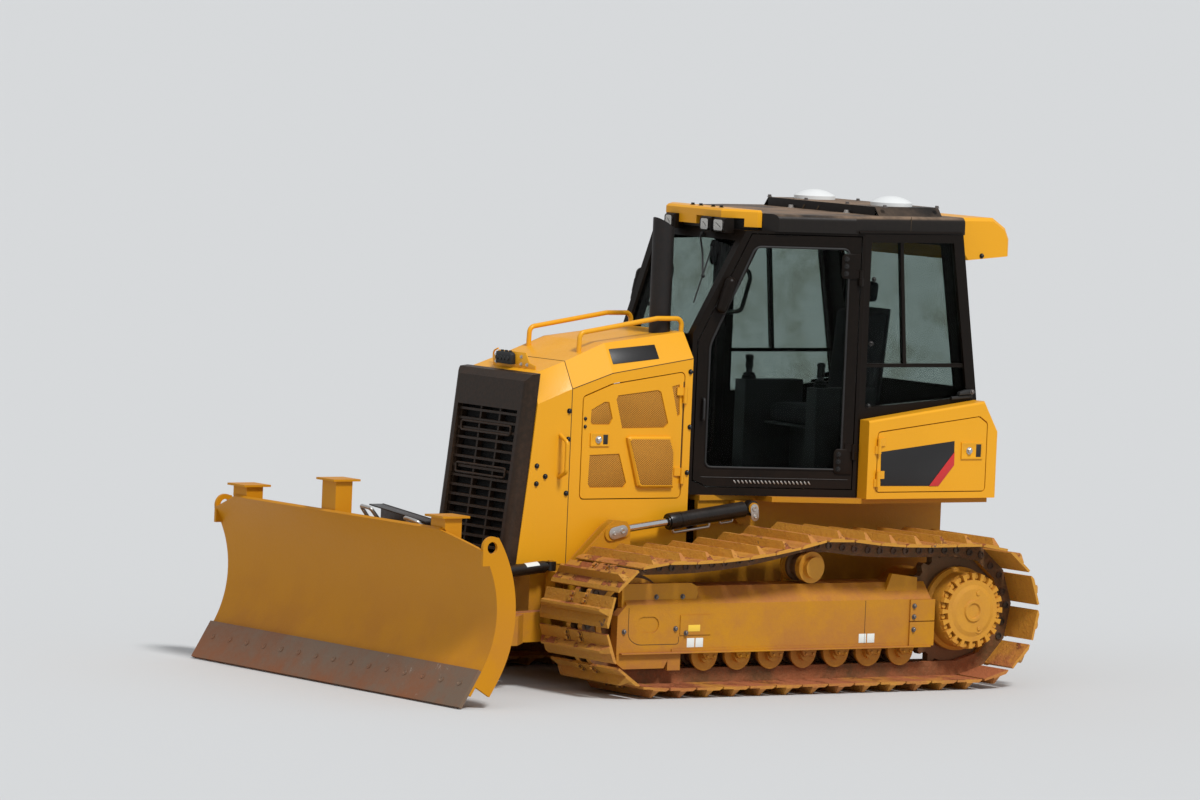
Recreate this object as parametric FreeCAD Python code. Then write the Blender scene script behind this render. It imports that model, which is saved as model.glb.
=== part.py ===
import FreeCAD, Part
import math
import os

# Track-type bulldozer with a wide low-ground-pressure undercarriage.
# Millimetres. X forward, Y left, Z up. While modelling, the origin lies on the ground
# midway between the sprocket and idler centres; on export everything moves back by
# MIDDLE_X, so that the finished part stands about the middle of its own length.

V = FreeCAD.Vector

# Undercarriage
TRACK_GAUGE = 1750.0
SHOE_WIDTH = 660.0
SHOE_THICKNESS = 14.0
GROUSER_HEIGHT = 48.0
GROUSER_THICKNESS = 14.0
GROUSER_CUT = 46.0
SHOE_GAP = 8.0
LINK_HEIGHT = 80.0
LINK_THICKNESS = 40.0
LINK_SPACING = 110.0
LINK_COUNT = 36
WHEEL_BASE = 2310.0
SPROCKET_PITCH_RADIUS = 343.0
IDLER_PITCH_RADIUS = 307.0
CARRIER_X = -70.0
CHAIN_PEAK_Z = 845.0
SAG_FRONT_X = 950.0
SAG_REAR_X = -720.0
SPROCKET_TEETH = 23
SPROCKET_THICKNESS = 50.0
BUSHING_RADIUS = 28.0
IDLER_WIDTH = 150.0
ROLLER_RADIUS = 76.0
ROLLER_X = (660.0, 428.0, 196.0, -36.0, -268.0, -500.0, -732.0)
CARRIER_RADIUS = 86.0
COLLAR_RADIUS = 44.0
COLLAR_WIDTH = 30.0
HUB_RADIUS = 222.0
HUB_FACE_Y = 1090.0
HUB_CENTRE_RADIUS = 150.0
HUB_BOLTS = 20
HUB_BOLT_CIRCLE = 178.0
RUNNING_GAP = 2.0
SEAT_GAP = 0.3
HINGE_RADIUS = 12.0
HINGE_OFFSET = 14.0
HINGE_HEIGHT = 45.0

# Track frame, one beam inside each track
BEAM_FRONT_X = 1316.0
BEAM_REAR_X = -890.0
BEAM_BOTTOM_Z = 236.0
BEAM_SHOULDER_Z = 515.0
BEAM_TOP_Z = 608.0
BEAM_OUTER_Y = 1030.0
BEAM_INNER_Y = 720.0
BEAM_TOP_OUTER_Y = 950.0

# Main frame
FRAME_HALF_WIDTH = 390.0
FRAME_WALL = 30.0
FRAME_FRONT_X = 1480.0
FRAME_REAR_X = -1430.0
FRAME_BOTTOM_Z = 335.0
FRAME_TOP_Z = 1020.0
DECK_Z = 1070.0
DECK_THICKNESS = 30.0
DECK_FRONT_X = 330.0
DECK_FRONT_HALF = 405.0
DECK_STEP_X = -70.0
DECK_STEP_HALF = 560.0
CROSS_TUBE_RADIUS = 62.0
REAR_CROSS_X = -720.0

# Hood and nose
HOOD_HALF_WIDTH = 400.0
HOOD_REAR_X = 410.0
HOOD_BOTTOM_Z = 690.0
HOOD_WALL = 25.0
COWL_JOINT_X = 1245.0
NOSE_REAR_TOP_X = 1445.0
NOSE_REAR_BOTTOM_X = 1565.0
NOSE_DEPTH = 85.0
NOSE_HALF_WIDTH = 365.0
NOSE_KNEE_X = 1498.0
NOSE_KNEE_Z = 1237.0
NOSE_BOTTOM_Z = 660.0
NOSE_TOP_Z = 1765.0
NOSE_ROUND = 42.0
GRILLE_HALF_WIDTH = 298.0
GRILLE_TOP_Z = 1552.0
GRILLE_BOTTOM_Z = 740.0
SLAT_COUNT = 15
SLAT_HEIGHT = 14.0
ENGINE_DOOR_FRONT_X = 1165.0
ENGINE_DOOR_REAR_X = 468.0
ENGINE_DOOR_BOTTOM_Z = 1058.0
ENGINE_DOOR_THICKNESS = 24.0
GRILLE_SINK = 7.0
DOOR_BOX_HEIGHT = 26.0
PANEL_GAP = 6.0
HANDRAIL_Y = 250.0
HANDRAIL_RADIUS = 14.0
EXHAUST_X = 490.0
EXHAUST_Y = 165.0
EXHAUST_RADIUS = 62.0
EXHAUST_TOP_Z = 2650.0

# Cab
CAB_FRONT_X = 385.0
CAB_FRONT_Y = 350.0
CAB_CORNER_X = -570.0
CAB_REAR_X = -1440.0
CAB_REAR_TOP_X = -1290.0
CAB_SILL_Z = 1120.0
WAIST_Z = 1960.0
BROW_X = 110.0
ROOF_TOP_Z = 2690.0
ROOF_THICKNESS = 100.0
POST = 62.0
CAB_WALL = 40.0
REAR_SILL_Z = 1640.0
DOOR_THICKNESS = 42.0
DOOR_GAP = 6.0
DOOR_REAR = 25.0
DOOR_CORNER_LENGTH = 90.0
DOOR_CORNER_HEIGHT = 35.0
DOOR_RAIL = 70.0
DOOR_SILL_RAIL = 110.0
DOOR_WINDOW_ROUND = 40.0
GLASS_THICKNESS = 8.0
WINDSHIELD_HALF = 300.0
WINDSHIELD_TOP_HALF = 382.0
CROSSBAR_Z = 1832.0
WINDOW_BAR = 22.0

# Roof fittings
VISOR_FRONT_X = 165.0
VISOR_FRONT_HALF = 270.0
VISOR_HALF_WIDTH = 430.0
VISOR_CORNER_X = 20.0
VISOR_WALL = 35.0
TRAY_FRONT_X = -750.0
TRAY_REAR_X = -1210.0
TRAY_HEIGHT = 50.0
DOME_X = -980.0
DOME_Y = 372.0
DOME_RADIUS = 122.0
DOME_HEIGHT = 58.0
REAR_COVER_X = -1755.0
REAR_COVER_HALF_WIDTH = 520.0
REAR_COVER_ROUND = 20.0

# Rear body
BODY_HALF_WIDTH = 780.0
BODY_FRONT_X = -581.0
BODY_REAR_X = -1525.0
BODY_TOP_FRONT_Z = 1522.0
BODY_TOP_REAR_Z = 1632.0
BODY_CHAMFER_Z = 1455.0
BODY_ROUND = 16.0
TANK_DOOR_FRONT_X = -650.0
TANK_DOOR_REAR_X = -1438.0
TANK_DOOR_BOTTOM_Z = 1112.0
TANK_DOOR_TOP_Z = 1452.0
TANK_DOOR_REAR_TOP_Z = 1540.0
TANK_DOOR_THICKNESS = 24.0
DRAWBAR_Z = 470.0
DRAWBAR_PIN_RADIUS = 22.0
DRAWBAR_X = -1640.0

# Push frame and blade
LIFT_PIVOT_X = -350.0
LIFT_PIVOT_Z = 420.0
ARM_INNER_Y = 430.0
ARM_OUTER_Y = 526.0
ARM_HEIGHT = 165.0
ARM_BOTTOM_Z = 258.0
WIDE_FROM_X = 1605.0
CROSS_BEAM_FRONT_X = 1900.0
CROSS_BEAM_REAR_X = 1780.0
CROSS_BEAM_HALF_WIDTH = 640.0
ANGLE_PIN_X = 2020.0
ANGLE_PIN_RADIUS = 38.0
YOKE_HEIGHT = 170.0
LUG_THICKNESS = 38.0
TILT_AXIS_Z = 335.0
TRUNNION_RADIUS = 55.0
BLADE_HALF_WIDTH = 1370.0
BLADE_TOP_HALF_WIDTH = 1050.0
BLADE_TOP_Z = 960.0
BLADE_CORNER_Z = 868.0
BLADE_BELLY_X = 2372.0
BLADE_BELLY_Z = 520.0
BLADE_CURVE_RADIUS = 609.0
BLADE_THICKNESS = 16.0
BLADE_FLAT_LENGTH = 150.0
BLADE_RIB_DEPTH = 130.0
EDGE_TOP_Z = 205.0
EDGE_THICKNESS = 20.0
EDGE_TIP_Z = 3.0
END_PLATE_THICKNESS = 20.0
END_PLATE_DEPTH = 125.0
EAR_HOLE_RADIUS = 33.0
EAR_RADIUS = 62.0
STOP_Y = 1010.0
STOP_TOP_Z = 1035.0
STOP_FOOT_Z = 812.0

# Cylinders
LIFT_Y = 491.0
LIFT_BARREL_PIN = (28.0, 1000.0)
LIFT_ROD_PIN = (958.0, 885.0)
LIFT_BARREL_RADIUS = 46.0
LIFT_BARREL_LENGTH = 585.0
LIFT_ROD_RADIUS = 22.0
LIFT_ROD_START = 250.0
LIFT_EYE_WIDTH = 48.0
LIFT_PIN_RADIUS = 22.0
LIFT_EYE_RADIUS = 44.0
ANGLE_BARREL_PIN = (1385.0, 450.0, 685.0)
ANGLE_ROD_PIN = (2190.0, 500.0, 612.0)
ANGLE_BARREL_RADIUS = 34.0
ANGLE_BARREL_LENGTH = 505.0
ANGLE_ROD_RADIUS = 18.0
ANGLE_ROD_START = 275.0
ANGLE_PIN_STUB = 14.0
TILT_PIN_Y = 250.0
TILT_PIN_Z = 690.0
TILT_PLANE_X = 2178.0
TILT_BARREL_RADIUS = 40.0
TILT_BARREL_LENGTH = 300.0
TILT_ROD_RADIUS = 18.0
TILT_ROD_START = 120.0
TILT_EYE_WIDTH = 44.0
PIN_CLEARANCE = 0.4

CAB_TOP_Z = ROOF_TOP_Z - ROOF_THICKNESS
VISOR_BOTTOM_Z = ROOF_TOP_Z - 82
LAMP_TOP_Z = ROOF_TOP_Z - 34
LAMP_BOTTOM_Z = ROOF_TOP_Z - 119
CAB_CORNER_Y = BODY_HALF_WIDTH - 95
DECK_HALF_WIDTH = BODY_HALF_WIDTH - 45
REAR_WINDOW_HALF = CAB_CORNER_Y - 185
TRAY_HALF_WIDTH = CAB_CORNER_Y - 165
SPROCKET_X = -WHEEL_BASE / 2
IDLER_X = WHEEL_BASE / 2
CHAIN_LINE_Z = GROUSER_HEIGHT + SHOE_THICKNESS + LINK_HEIGHT / 2
SPROCKET_Z = CHAIN_LINE_Z + SPROCKET_PITCH_RADIUS
IDLER_Z = CHAIN_LINE_Z + IDLER_PITCH_RADIUS
TRACK_Y = TRACK_GAUGE / 2
RAIL_TOP_Z = CHAIN_LINE_Z + LINK_HEIGHT / 2
ROLLER_HALF_WIDTH = LINK_SPACING / 2 + LINK_THICKNESS / 2 + 18


def blade_angle(z):
    """Angle of a height on the moldboard's arc, seen from the arc's centre."""
    return math.asin((z - BLADE_BELLY_Z) / BLADE_CURVE_RADIUS)


def blade_point(angle, depth):
    """Point of the arc at a depth behind the front surface."""
    radius = BLADE_CURVE_RADIUS + depth
    x = BLADE_BELLY_X + BLADE_CURVE_RADIUS - radius * math.cos(angle)
    return x, BLADE_BELLY_Z + radius * math.sin(angle)


def flat_point(run, depth):
    """Point on the straight lower plate, tangent to the arc, a run below its start."""
    angle = blade_angle(EDGE_TOP_Z)
    x, z = blade_point(angle, depth)
    return x - run * math.sin(angle), z - run * math.cos(angle)


EDGE_RUN = (EDGE_TOP_Z - EDGE_TIP_Z) / math.cos(blade_angle(EDGE_TOP_Z))
FRONT_X = flat_point(EDGE_RUN, -EDGE_THICKNESS)[0]
MIDDLE_X = (FRONT_X + REAR_COVER_X) / 2


def closed_face(points):
    return Part.Face(Part.makePolygon(points + [points[0]]))


def plate_xz(points, y0, y1):
    return closed_face([V(x, y0, z) for x, z in points]).extrude(V(0, y1 - y0, 0))


def plate_xy(points, z0, z1):
    return closed_face([V(x, y, z0) for x, y in points]).extrude(V(0, 0, z1 - z0))


def plate_yz(points, x0, x1):
    return closed_face([V(x0, y, z) for y, z in points]).extrude(V(x1 - x0, 0, 0))


def box(x0, x1, y0, y1, z0, z1):
    return Part.makeBox(x1 - x0, y1 - y0, z1 - z0, V(x0, y0, z0))


def rod(start, end, radius):
    reach = end - start
    return Part.makeCylinder(radius, reach.Length, start, reach)


def stadium_xz(x0, x1, z0, z1, y0, y1):
    """Plate with round ends, lying level."""
    radius = (z1 - z0) / 2
    middle = (z0 + z1) / 2
    body = box(x0 + radius, x1 - radius, y0, y1, z0, z1)
    return body.fuse([across(x, middle, y0, y1, radius) for x in (x0 + radius, x1 - radius)])


def across(x, z, y0, y1, radius):
    return rod(V(x, y0, z), V(x, y1, z), radius)


def mirrored(shape):
    return shape.mirror(V(0, 0, 0), V(0, 1, 0))


def rounded_corners(plate, radius):
    """Upright plate in the X-Z plane with its outline's corners rounded."""
    corners = [e for e in plate.Edges if abs(e.tangentAt(e.FirstParameter).y) > 0.99]
    return plate.makeFillet(radius, corners)


def both_sides(shape):
    return [shape, mirrored(shape)]


def fused(shapes):
    return shapes[0].fuse(shapes[1:]).removeSplitter()


def bent_tube(points, radius, bend):
    """Round tube along straight runs joined by tangent arcs."""
    edges = []
    start = points[0]
    for i in range(1, len(points) - 1):
        corner = points[i]
        before = (points[i - 1] - corner).normalize()
        after = (points[i + 1] - corner).normalize()
        half = before.getAngle(after) / 2
        reach = bend / math.tan(half)
        middle_way = (before + after).normalize()
        centre = corner + middle_way * (bend / math.sin(half))
        arc_start = corner + before * reach
        arc_end = corner + after * reach
        edges.append(Part.LineSegment(start, arc_start).toShape())
        edges.append(Part.Arc(arc_start, centre - middle_way * bend, arc_end).toShape())
        start = arc_end
    edges.append(Part.LineSegment(start, points[-1]).toShape())
    ring = Part.Wire([Part.makeCircle(radius, points[0], points[1] - points[0])])
    return Part.Wire(edges).makePipeShell([ring], True, False)


def hinge_half(origin, along, z, fixed):
    """Knuckle and leaf of a door hinge; origin lies on the outer face at the door's edge."""
    outward = V(-along.y, along.x, 0)
    side = -1 if fixed else 1
    # Columns: distance from the door's edge, distance out from its face
    leaf = ((22, -1), (7, -1), (7, 2), (0, 2), (0, HINGE_OFFSET), (13, HINGE_OFFSET), (22, 6))
    if not fixed:
        leaf = ((50, -1), (1, -1), (0, 2), (0, HINGE_OFFSET), (13, HINGE_OFFSET), (50, 6))
    base = [origin + along * (side * u) + outward * d + V(0, 0, z) for u, d in leaf]
    pin = origin + outward * HINGE_OFFSET + V(0, 0, z)
    knuckle = rod(pin, pin + V(0, 0, HINGE_HEIGHT), HINGE_RADIUS)
    return closed_face(base).extrude(V(0, 0, HINGE_HEIGHT)).fuse(knuckle)


def hinge_halves(origin, along, heights):
    """Fixed halves, and above them the moving halves, of a door's hinges."""
    fixed = [hinge_half(origin, along, z, True) for z in heights]
    moving = [hinge_half(origin, along, z + HINGE_HEIGHT + SEAT_GAP, False) for z in heights]
    return fixed, moving


def save(name, *shapes):
    shape = shapes[0] if len(shapes) == 1 else Part.makeCompound(list(shapes))
    moved = shape.copy()
    moved.translate(V(-MIDDLE_X, 0, 0))
    moved.exportStep("parts/" + name + ".step")


def save_pair(name, shape):
    save(name + "_left", shape)
    save(name + "_right", mirrored(shape))


# Track chain: a closed path of lines and arcs, walked in equal chords

def chain_path():
    """Segments of the pitch line, forward along the ground and back over the top."""
    sprocket_top = SPROCKET_Z + SPROCKET_PITCH_RADIUS
    idler_top = IDLER_Z + IDLER_PITCH_RADIUS
    front_run = SAG_FRONT_X - CARRIER_X
    front_rise = CHAIN_PEAK_Z - idler_top
    front_radius = (front_run ** 2 + front_rise ** 2) / (2 * front_rise)
    front_turn = math.asin(front_run / front_radius)
    rear_run = CARRIER_X - SAG_REAR_X
    rear_rise = CHAIN_PEAK_Z - sprocket_top
    rear_radius = (rear_run ** 2 + rear_rise ** 2) / (2 * rear_rise)
    rear_turn = math.asin(rear_run / rear_radius)
    down = -math.pi / 2
    return [
        ("line", (SPROCKET_X, CHAIN_LINE_Z), (IDLER_X, CHAIN_LINE_Z)),
        ("arc", (IDLER_X, IDLER_Z), IDLER_PITCH_RADIUS, down, -down),
        ("line", (IDLER_X, idler_top), (SAG_FRONT_X, idler_top)),
        ("arc", (SAG_FRONT_X, idler_top + front_radius), front_radius, down, down - front_turn),
        ("arc", (SAG_REAR_X, sprocket_top + rear_radius), rear_radius, down + rear_turn, down),
        ("line", (SAG_REAR_X, sprocket_top), (SPROCKET_X, sprocket_top)),
        ("arc", (SPROCKET_X, SPROCKET_Z), SPROCKET_PITCH_RADIUS, -down, -3 * down),
    ]


def segment_length(segment):
    if segment[0] == "line":
        return math.dist(segment[1], segment[2])
    return segment[2] * abs(segment[4] - segment[3])


def point_on(path, distance):
    """Point at a distance along the closed path."""
    left = distance % sum(segment_length(s) for s in path)
    for segment in path:
        length = segment_length(segment)
        if left <= length:
            share = left / length
            if segment[0] == "line":
                (x0, z0), (x1, z1) = segment[1], segment[2]
                return x0 + share * (x1 - x0), z0 + share * (z1 - z0)
            (cx, cz), radius = segment[1], segment[2]
            angle = segment[3] + share * (segment[4] - segment[3])
            return cx + radius * math.cos(angle), cz + radius * math.sin(angle)
        left -= length
    return point_on(path, 0.0)


def next_pin(path, distance, pitch):
    """Distance along the path of the pin that lies one pitch further, as a chord."""
    here = point_on(path, distance)
    low, high = distance, distance + 1.2 * pitch
    for _ in range(26):
        middle = (low + high) / 2
        if math.dist(here, point_on(path, middle)) < pitch:
            low = middle
        else:
            high = middle
    return low


def chain_pins():
    """Pins of LINK_COUNT equal links that close on themselves."""
    path = chain_path()
    total = sum(segment_length(s) for s in path)
    low, high = 0.9 * total / LINK_COUNT, 1.05 * total / LINK_COUNT
    for _ in range(22):
        pitch = (low + high) / 2
        distance = 0.0
        for _ in range(LINK_COUNT):
            distance = next_pin(path, distance, pitch)
        if distance < total:
            low = pitch
        else:
            high = pitch
    distances = [0.0]
    for _ in range(LINK_COUNT - 1):
        distances.append(next_pin(path, distances[-1], low))
    return [point_on(path, d) for d in distances], low


def link_frames(pins):
    """Middle, direction and outward normal of every link, in the X-Z plane."""
    frames = []
    for i, (x0, z0) in enumerate(pins):
        x1, z1 = pins[(i + 1) % len(pins)]
        length = math.dist((x0, z0), (x1, z1))
        along = ((x1 - x0) / length, (z1 - z0) / length)
        frames.append((((x0 + x1) / 2, (z0 + z1) / 2), along, (along[1], -along[0])))
    return frames


def rail_corners(pins, offset):
    """Corners of the pin polygon moved outward by an offset, mitred at each pin."""
    frames = link_frames(pins)
    corners = []
    for i, (x, z) in enumerate(pins):
        before, after = frames[i - 1][2], frames[i][2]
        share = 1 + before[0] * after[0] + before[1] * after[1]
        nx = (before[0] + after[0]) / share
        nz = (before[1] + after[1]) / share
        corners.append((x + offset * nx, z + offset * nz))
    return corners


def track_shoe(frame, pitch):
    """Bent plate with one grouser, its outer corners cut back."""
    (mx, mz), (tx, tz), (nx, nz) = frame
    half = (pitch - SHOE_GAP) / 2
    seat = LINK_HEIGHT / 2
    top = seat + SHOE_THICKNESS
    tip = top + GROUSER_HEIGHT
    root = GROUSER_THICKNESS
    # Columns: along the link, height above the pitch line
    section = (
        (-half, seat), (half, seat), (half, top), (root + 8, top), (root / 2, tip), (-root / 2, tip),
        (-root - 8, top + 5), (22 - half, top + 5), (-half, top - 7),
    )

    def place(points):
        return [(mx + t * tx + n * nx, mz + t * tz + n * nz) for t, n in points]
    shoe = plate_xz(place(section), TRACK_Y - SHOE_WIDTH / 2, TRACK_Y + SHOE_WIDTH / 2)
    reach = 2 * root + 8
    corner = [V(x, 0, z) for x, z in place(((-reach, top + 6), (-reach, tip + 1)))]
    cuts = []
    for side in (-1, 1):
        edge = TRACK_Y + side * SHOE_WIDTH / 2
        triangle = [corner[0] + V(0, edge, 0), corner[1] + V(0, edge, 0),
                    corner[1] + V(0, edge - side * GROUSER_CUT, 0)]
        cuts.append(closed_face(triangle).extrude(V(2 * reach * tx, 0, 2 * reach * tz)))
    return shoe.cut(cuts)


def track(pins, pitch):
    """Two closed rails of links with a shoe seated on every link."""
    rail_outer = rail_corners(pins, LINK_HEIGHT / 2)
    rail_inner = rail_corners(pins, -LINK_HEIGHT / 2)
    pieces = []
    for side in (-1, 1):
        middle = TRACK_Y + side * LINK_SPACING / 2
        y0, y1 = middle - LINK_THICKNESS / 2, middle + LINK_THICKNESS / 2
        pieces.append(plate_xz(rail_outer, y0, y1).cut(plate_xz(rail_inner, y0, y1)))
    for frame in link_frames(pins):
        pieces.append(track_shoe(frame, pitch))
    return pieces[0].fuse(pieces[1:]).removeSplitter()


def sprocket():
    """Toothed ring with its domed, bolted hub cover and the final drive behind it."""
    half_pitch = 2 * math.pi / SPROCKET_TEETH
    root_radius = SPROCKET_PITCH_RADIUS - BUSHING_RADIUS
    tip_radius = SPROCKET_PITCH_RADIUS + 6
    # Columns: share of the tooth pitch, radius
    tooth = ((-0.34, root_radius), (-0.13, tip_radius), (0.13, tip_radius), (0.34, root_radius))
    rim = []
    for i in range(SPROCKET_TEETH):
        for share, radius in tooth:
            angle = (i + share) * half_pitch
            rim.append((SPROCKET_X + radius * math.cos(angle), SPROCKET_Z + radius * math.sin(angle)))
    ring = plate_xz(rim, TRACK_Y - SPROCKET_THICKNESS / 2, TRACK_Y + SPROCKET_THICKNESS / 2)
    cover_y = TRACK_Y + SPROCKET_THICKNESS / 2
    cover_depth = HUB_FACE_Y - cover_y
    # Columns: distance out from the toothed ring, radius
    steps = (
        (0, HUB_RADIUS + 20), (0.25 * cover_depth, HUB_RADIUS + 20),
        (0.35 * cover_depth, HUB_RADIUS), (0.85 * cover_depth, HUB_RADIUS),
        (cover_depth - 8, HUB_RADIUS - 4), (cover_depth - 8, HUB_CENTRE_RADIUS), (cover_depth, 125),
        (cover_depth, 66), (cover_depth + 9, 60), (cover_depth + 9, 46), (cover_depth, 40),
        (cover_depth, 0),
    )
    profile = [V(0, cover_y, 0)] + [V(radius, cover_y + depth, 0) for depth, radius in steps]
    cover = closed_face(profile).revolve(V(0, 0, 0), V(0, 1, 0), 360)
    cover.translate(V(SPROCKET_X, 0, SPROCKET_Z))
    pockets = []
    for i in range(HUB_BOLTS):
        angle = 2 * math.pi * (i + 0.5) / HUB_BOLTS
        x = SPROCKET_X + HUB_BOLT_CIRCLE * math.cos(angle)
        z = SPROCKET_Z + HUB_BOLT_CIRCLE * math.sin(angle)
        turn = math.degrees(angle)
        slot = box(x, x + 60, HUB_FACE_Y - 40, HUB_FACE_Y + 1, z - 19, z + 19)
        slot.rotate(V(x, 0, z), V(0, 1, 0), -turn)
        pockets.append(slot)
    cover = cover.cut(pockets)
    drive_case = across(
        SPROCKET_X, SPROCKET_Z, FRAME_HALF_WIDTH + SEAT_GAP, TRACK_Y - SPROCKET_THICKNESS / 2, 205)
    case_flange = across(
        SPROCKET_X, SPROCKET_Z, BEAM_INNER_Y - 40, TRACK_Y - LINK_SPACING / 2 - 50, 250)
    return fused([ring, cover, drive_case, case_flange])


def idler(pitch):
    """Front wheel whose centre flange runs between the rails."""
    chord_radius = math.sqrt(IDLER_PITCH_RADIUS ** 2 - (pitch / 2) ** 2)
    tread_radius = chord_radius - LINK_HEIGHT / 2 - SEAT_GAP
    flange_radius = tread_radius + 22
    half = IDLER_WIDTH / 2
    flange = LINK_SPACING / 2 - LINK_THICKNESS / 2 - 6
    # Columns: distance from the middle of the wheel, radius
    steps = (
        (-half, tread_radius), (-flange - 4, tread_radius), (-flange, flange_radius),
        (flange, flange_radius), (flange + 4, tread_radius), (half, tread_radius),
        (half, tread_radius - 35), (half - 35, tread_radius - 55), (half - 35, 95),
        (half + 12, 80), (half + 12, 0), (-half - 12, 0), (-half - 12, 80),
        (-half + 35, 95), (-half + 35, tread_radius - 55), (-half, tread_radius - 35),
    )
    wheel = closed_face([V(radius, y, 0) for y, radius in steps]).revolve(V(0, 0, 0), V(0, 1, 0), 360)
    wheel.translate(V(IDLER_X, TRACK_Y, IDLER_Z))
    return wheel


def roller(x, z, radius, flange):
    """Double-flanged roller on its shaft."""
    rail_inner = LINK_SPACING / 2 - LINK_THICKNESS / 2 - 4
    rail_outer = LINK_SPACING / 2 + LINK_THICKNESS / 2 + 4
    # Columns: distance from the middle of the roller, radius
    steps = (
        (-rail_outer - 14, 0), (-rail_outer - 14, flange), (-rail_outer, flange),
        (-rail_outer, radius), (-rail_inner, radius), (-rail_inner + 6, radius - 16),
        (rail_inner - 6, radius - 16), (rail_inner, radius), (rail_outer, radius),
        (rail_outer, flange), (rail_outer + 14, flange), (rail_outer + 14, 0),
    )
    wheel = closed_face([V(r, y, 0) for y, r in steps]).revolve(V(0, 0, 0), V(0, 1, 0), 360)
    wheel.translate(V(x, TRACK_Y, z))
    return wheel


def roller_z():
    return RAIL_TOP_Z + SEAT_GAP + ROLLER_RADIUS


def track_rollers():
    """Seven bottom rollers with their end collars bolted under the beam."""
    wheels = []
    for x in ROLLER_X:
        wheel = roller(x, roller_z(), ROLLER_RADIUS, ROLLER_RADIUS + 14)
        shaft = across(x, roller_z(), TRACK_Y - ROLLER_HALF_WIDTH - COLLAR_WIDTH,
                       TRACK_Y + ROLLER_HALF_WIDTH + COLLAR_WIDTH, COLLAR_RADIUS)
        wheels.append(wheel.fuse(shaft).removeSplitter())
    return wheels


def carrier_z(pins, pitch):
    """Highest place of the carrier roller's centre under the rails that cross it."""
    reach = LINK_HEIGHT / 2 + CARRIER_RADIUS + SEAT_GAP
    heights = []
    for (mx, mz), _, (nx, nz) in link_frames(pins):
        if nz > 0 and abs(mx - CARRIER_X) < pitch:
            heights.append((mx * nx + mz * nz - reach - CARRIER_X * nx) / nz)
    return min(heights)


def carrier_roller(z):
    wheel = roller(CARRIER_X, z, CARRIER_RADIUS, CARRIER_RADIUS + 4)
    cap = across(CARRIER_X, z, TRACK_Y + ROLLER_HALF_WIDTH - 1, TRACK_Y + ROLLER_HALF_WIDTH + 36, 62)
    return wheel.fuse(cap)


def track_frame(carrier_height):
    """Box beam open below for the rollers and forked round the idler."""
    outline = (
        (BEAM_INNER_Y, BEAM_BOTTOM_Z), (BEAM_OUTER_Y, BEAM_BOTTOM_Z),
        (BEAM_OUTER_Y, BEAM_SHOULDER_Z), (BEAM_TOP_OUTER_Y, BEAM_TOP_Z),
        (BEAM_INNER_Y + 30, BEAM_TOP_Z), (BEAM_INNER_Y, BEAM_SHOULDER_Z),
    )
    beam = plate_yz(outline, BEAM_REAR_X, BEAM_FRONT_X)
    nose_cut = plate_xz(
        ((BEAM_FRONT_X - 60, BEAM_SHOULDER_Z), (BEAM_FRONT_X + 1, BEAM_SHOULDER_Z - 60),
         (BEAM_FRONT_X + 1, BEAM_TOP_Z + 1), (BEAM_FRONT_X - 60, BEAM_TOP_Z + 1)),
        BEAM_INNER_Y - 1, BEAM_OUTER_Y + 1)
    roller_slot = box(
        BEAM_REAR_X - 1, BEAM_FRONT_X - 330, TRACK_Y - 100, TRACK_Y + 100,
        BEAM_BOTTOM_Z - 1, roller_z() + ROLLER_RADIUS + 30)
    fork_slot = box(
        IDLER_X - IDLER_PITCH_RADIUS - 30, BEAM_FRONT_X + 1,
        TRACK_Y - IDLER_WIDTH / 2 - 18, TRACK_Y + IDLER_WIDTH / 2 + 18,
        BEAM_BOTTOM_Z - 1, BEAM_TOP_Z + 1)
    sprocket_room = across(
        SPROCKET_X, SPROCKET_Z, TRACK_Y - SPROCKET_THICKNESS / 2 - 20,
        TRACK_Y + SPROCKET_THICKNESS / 2 + 20, SPROCKET_PITCH_RADIUS + 25)
    seats = []
    for x in ROLLER_X:
        seats.append(across(x, roller_z(), TRACK_Y - ROLLER_HALF_WIDTH - COLLAR_WIDTH - SEAT_GAP,
                            TRACK_Y + ROLLER_HALF_WIDTH + COLLAR_WIDTH + SEAT_GAP,
                            COLLAR_RADIUS + SEAT_GAP))
    beam = beam.cut([nose_cut, roller_slot, fork_slot, sprocket_room] + seats)
    post_face = TRACK_Y - ROLLER_HALF_WIDTH - SEAT_GAP
    carrier_post = box(CARRIER_X - 60, CARRIER_X + 60, BEAM_INNER_Y + 40, post_face,
                       BEAM_TOP_Z - 5, carrier_height + 30)
    idler_arms = []
    for side in (-1, 1):
        inner = TRACK_Y + side * (IDLER_WIDTH / 2 + 12 + SEAT_GAP)
        outer = TRACK_Y + side * (IDLER_WIDTH / 2 + 19)
        idler_arms.append(across(IDLER_X, IDLER_Z, inner, outer, 70))
    recess = stadium_xz(1030, 1180, 357, 448, BEAM_OUTER_Y - 6, BEAM_OUTER_Y + 1)
    return fused([beam.cut(recess), carrier_post] + idler_arms + beam_guards())


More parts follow.
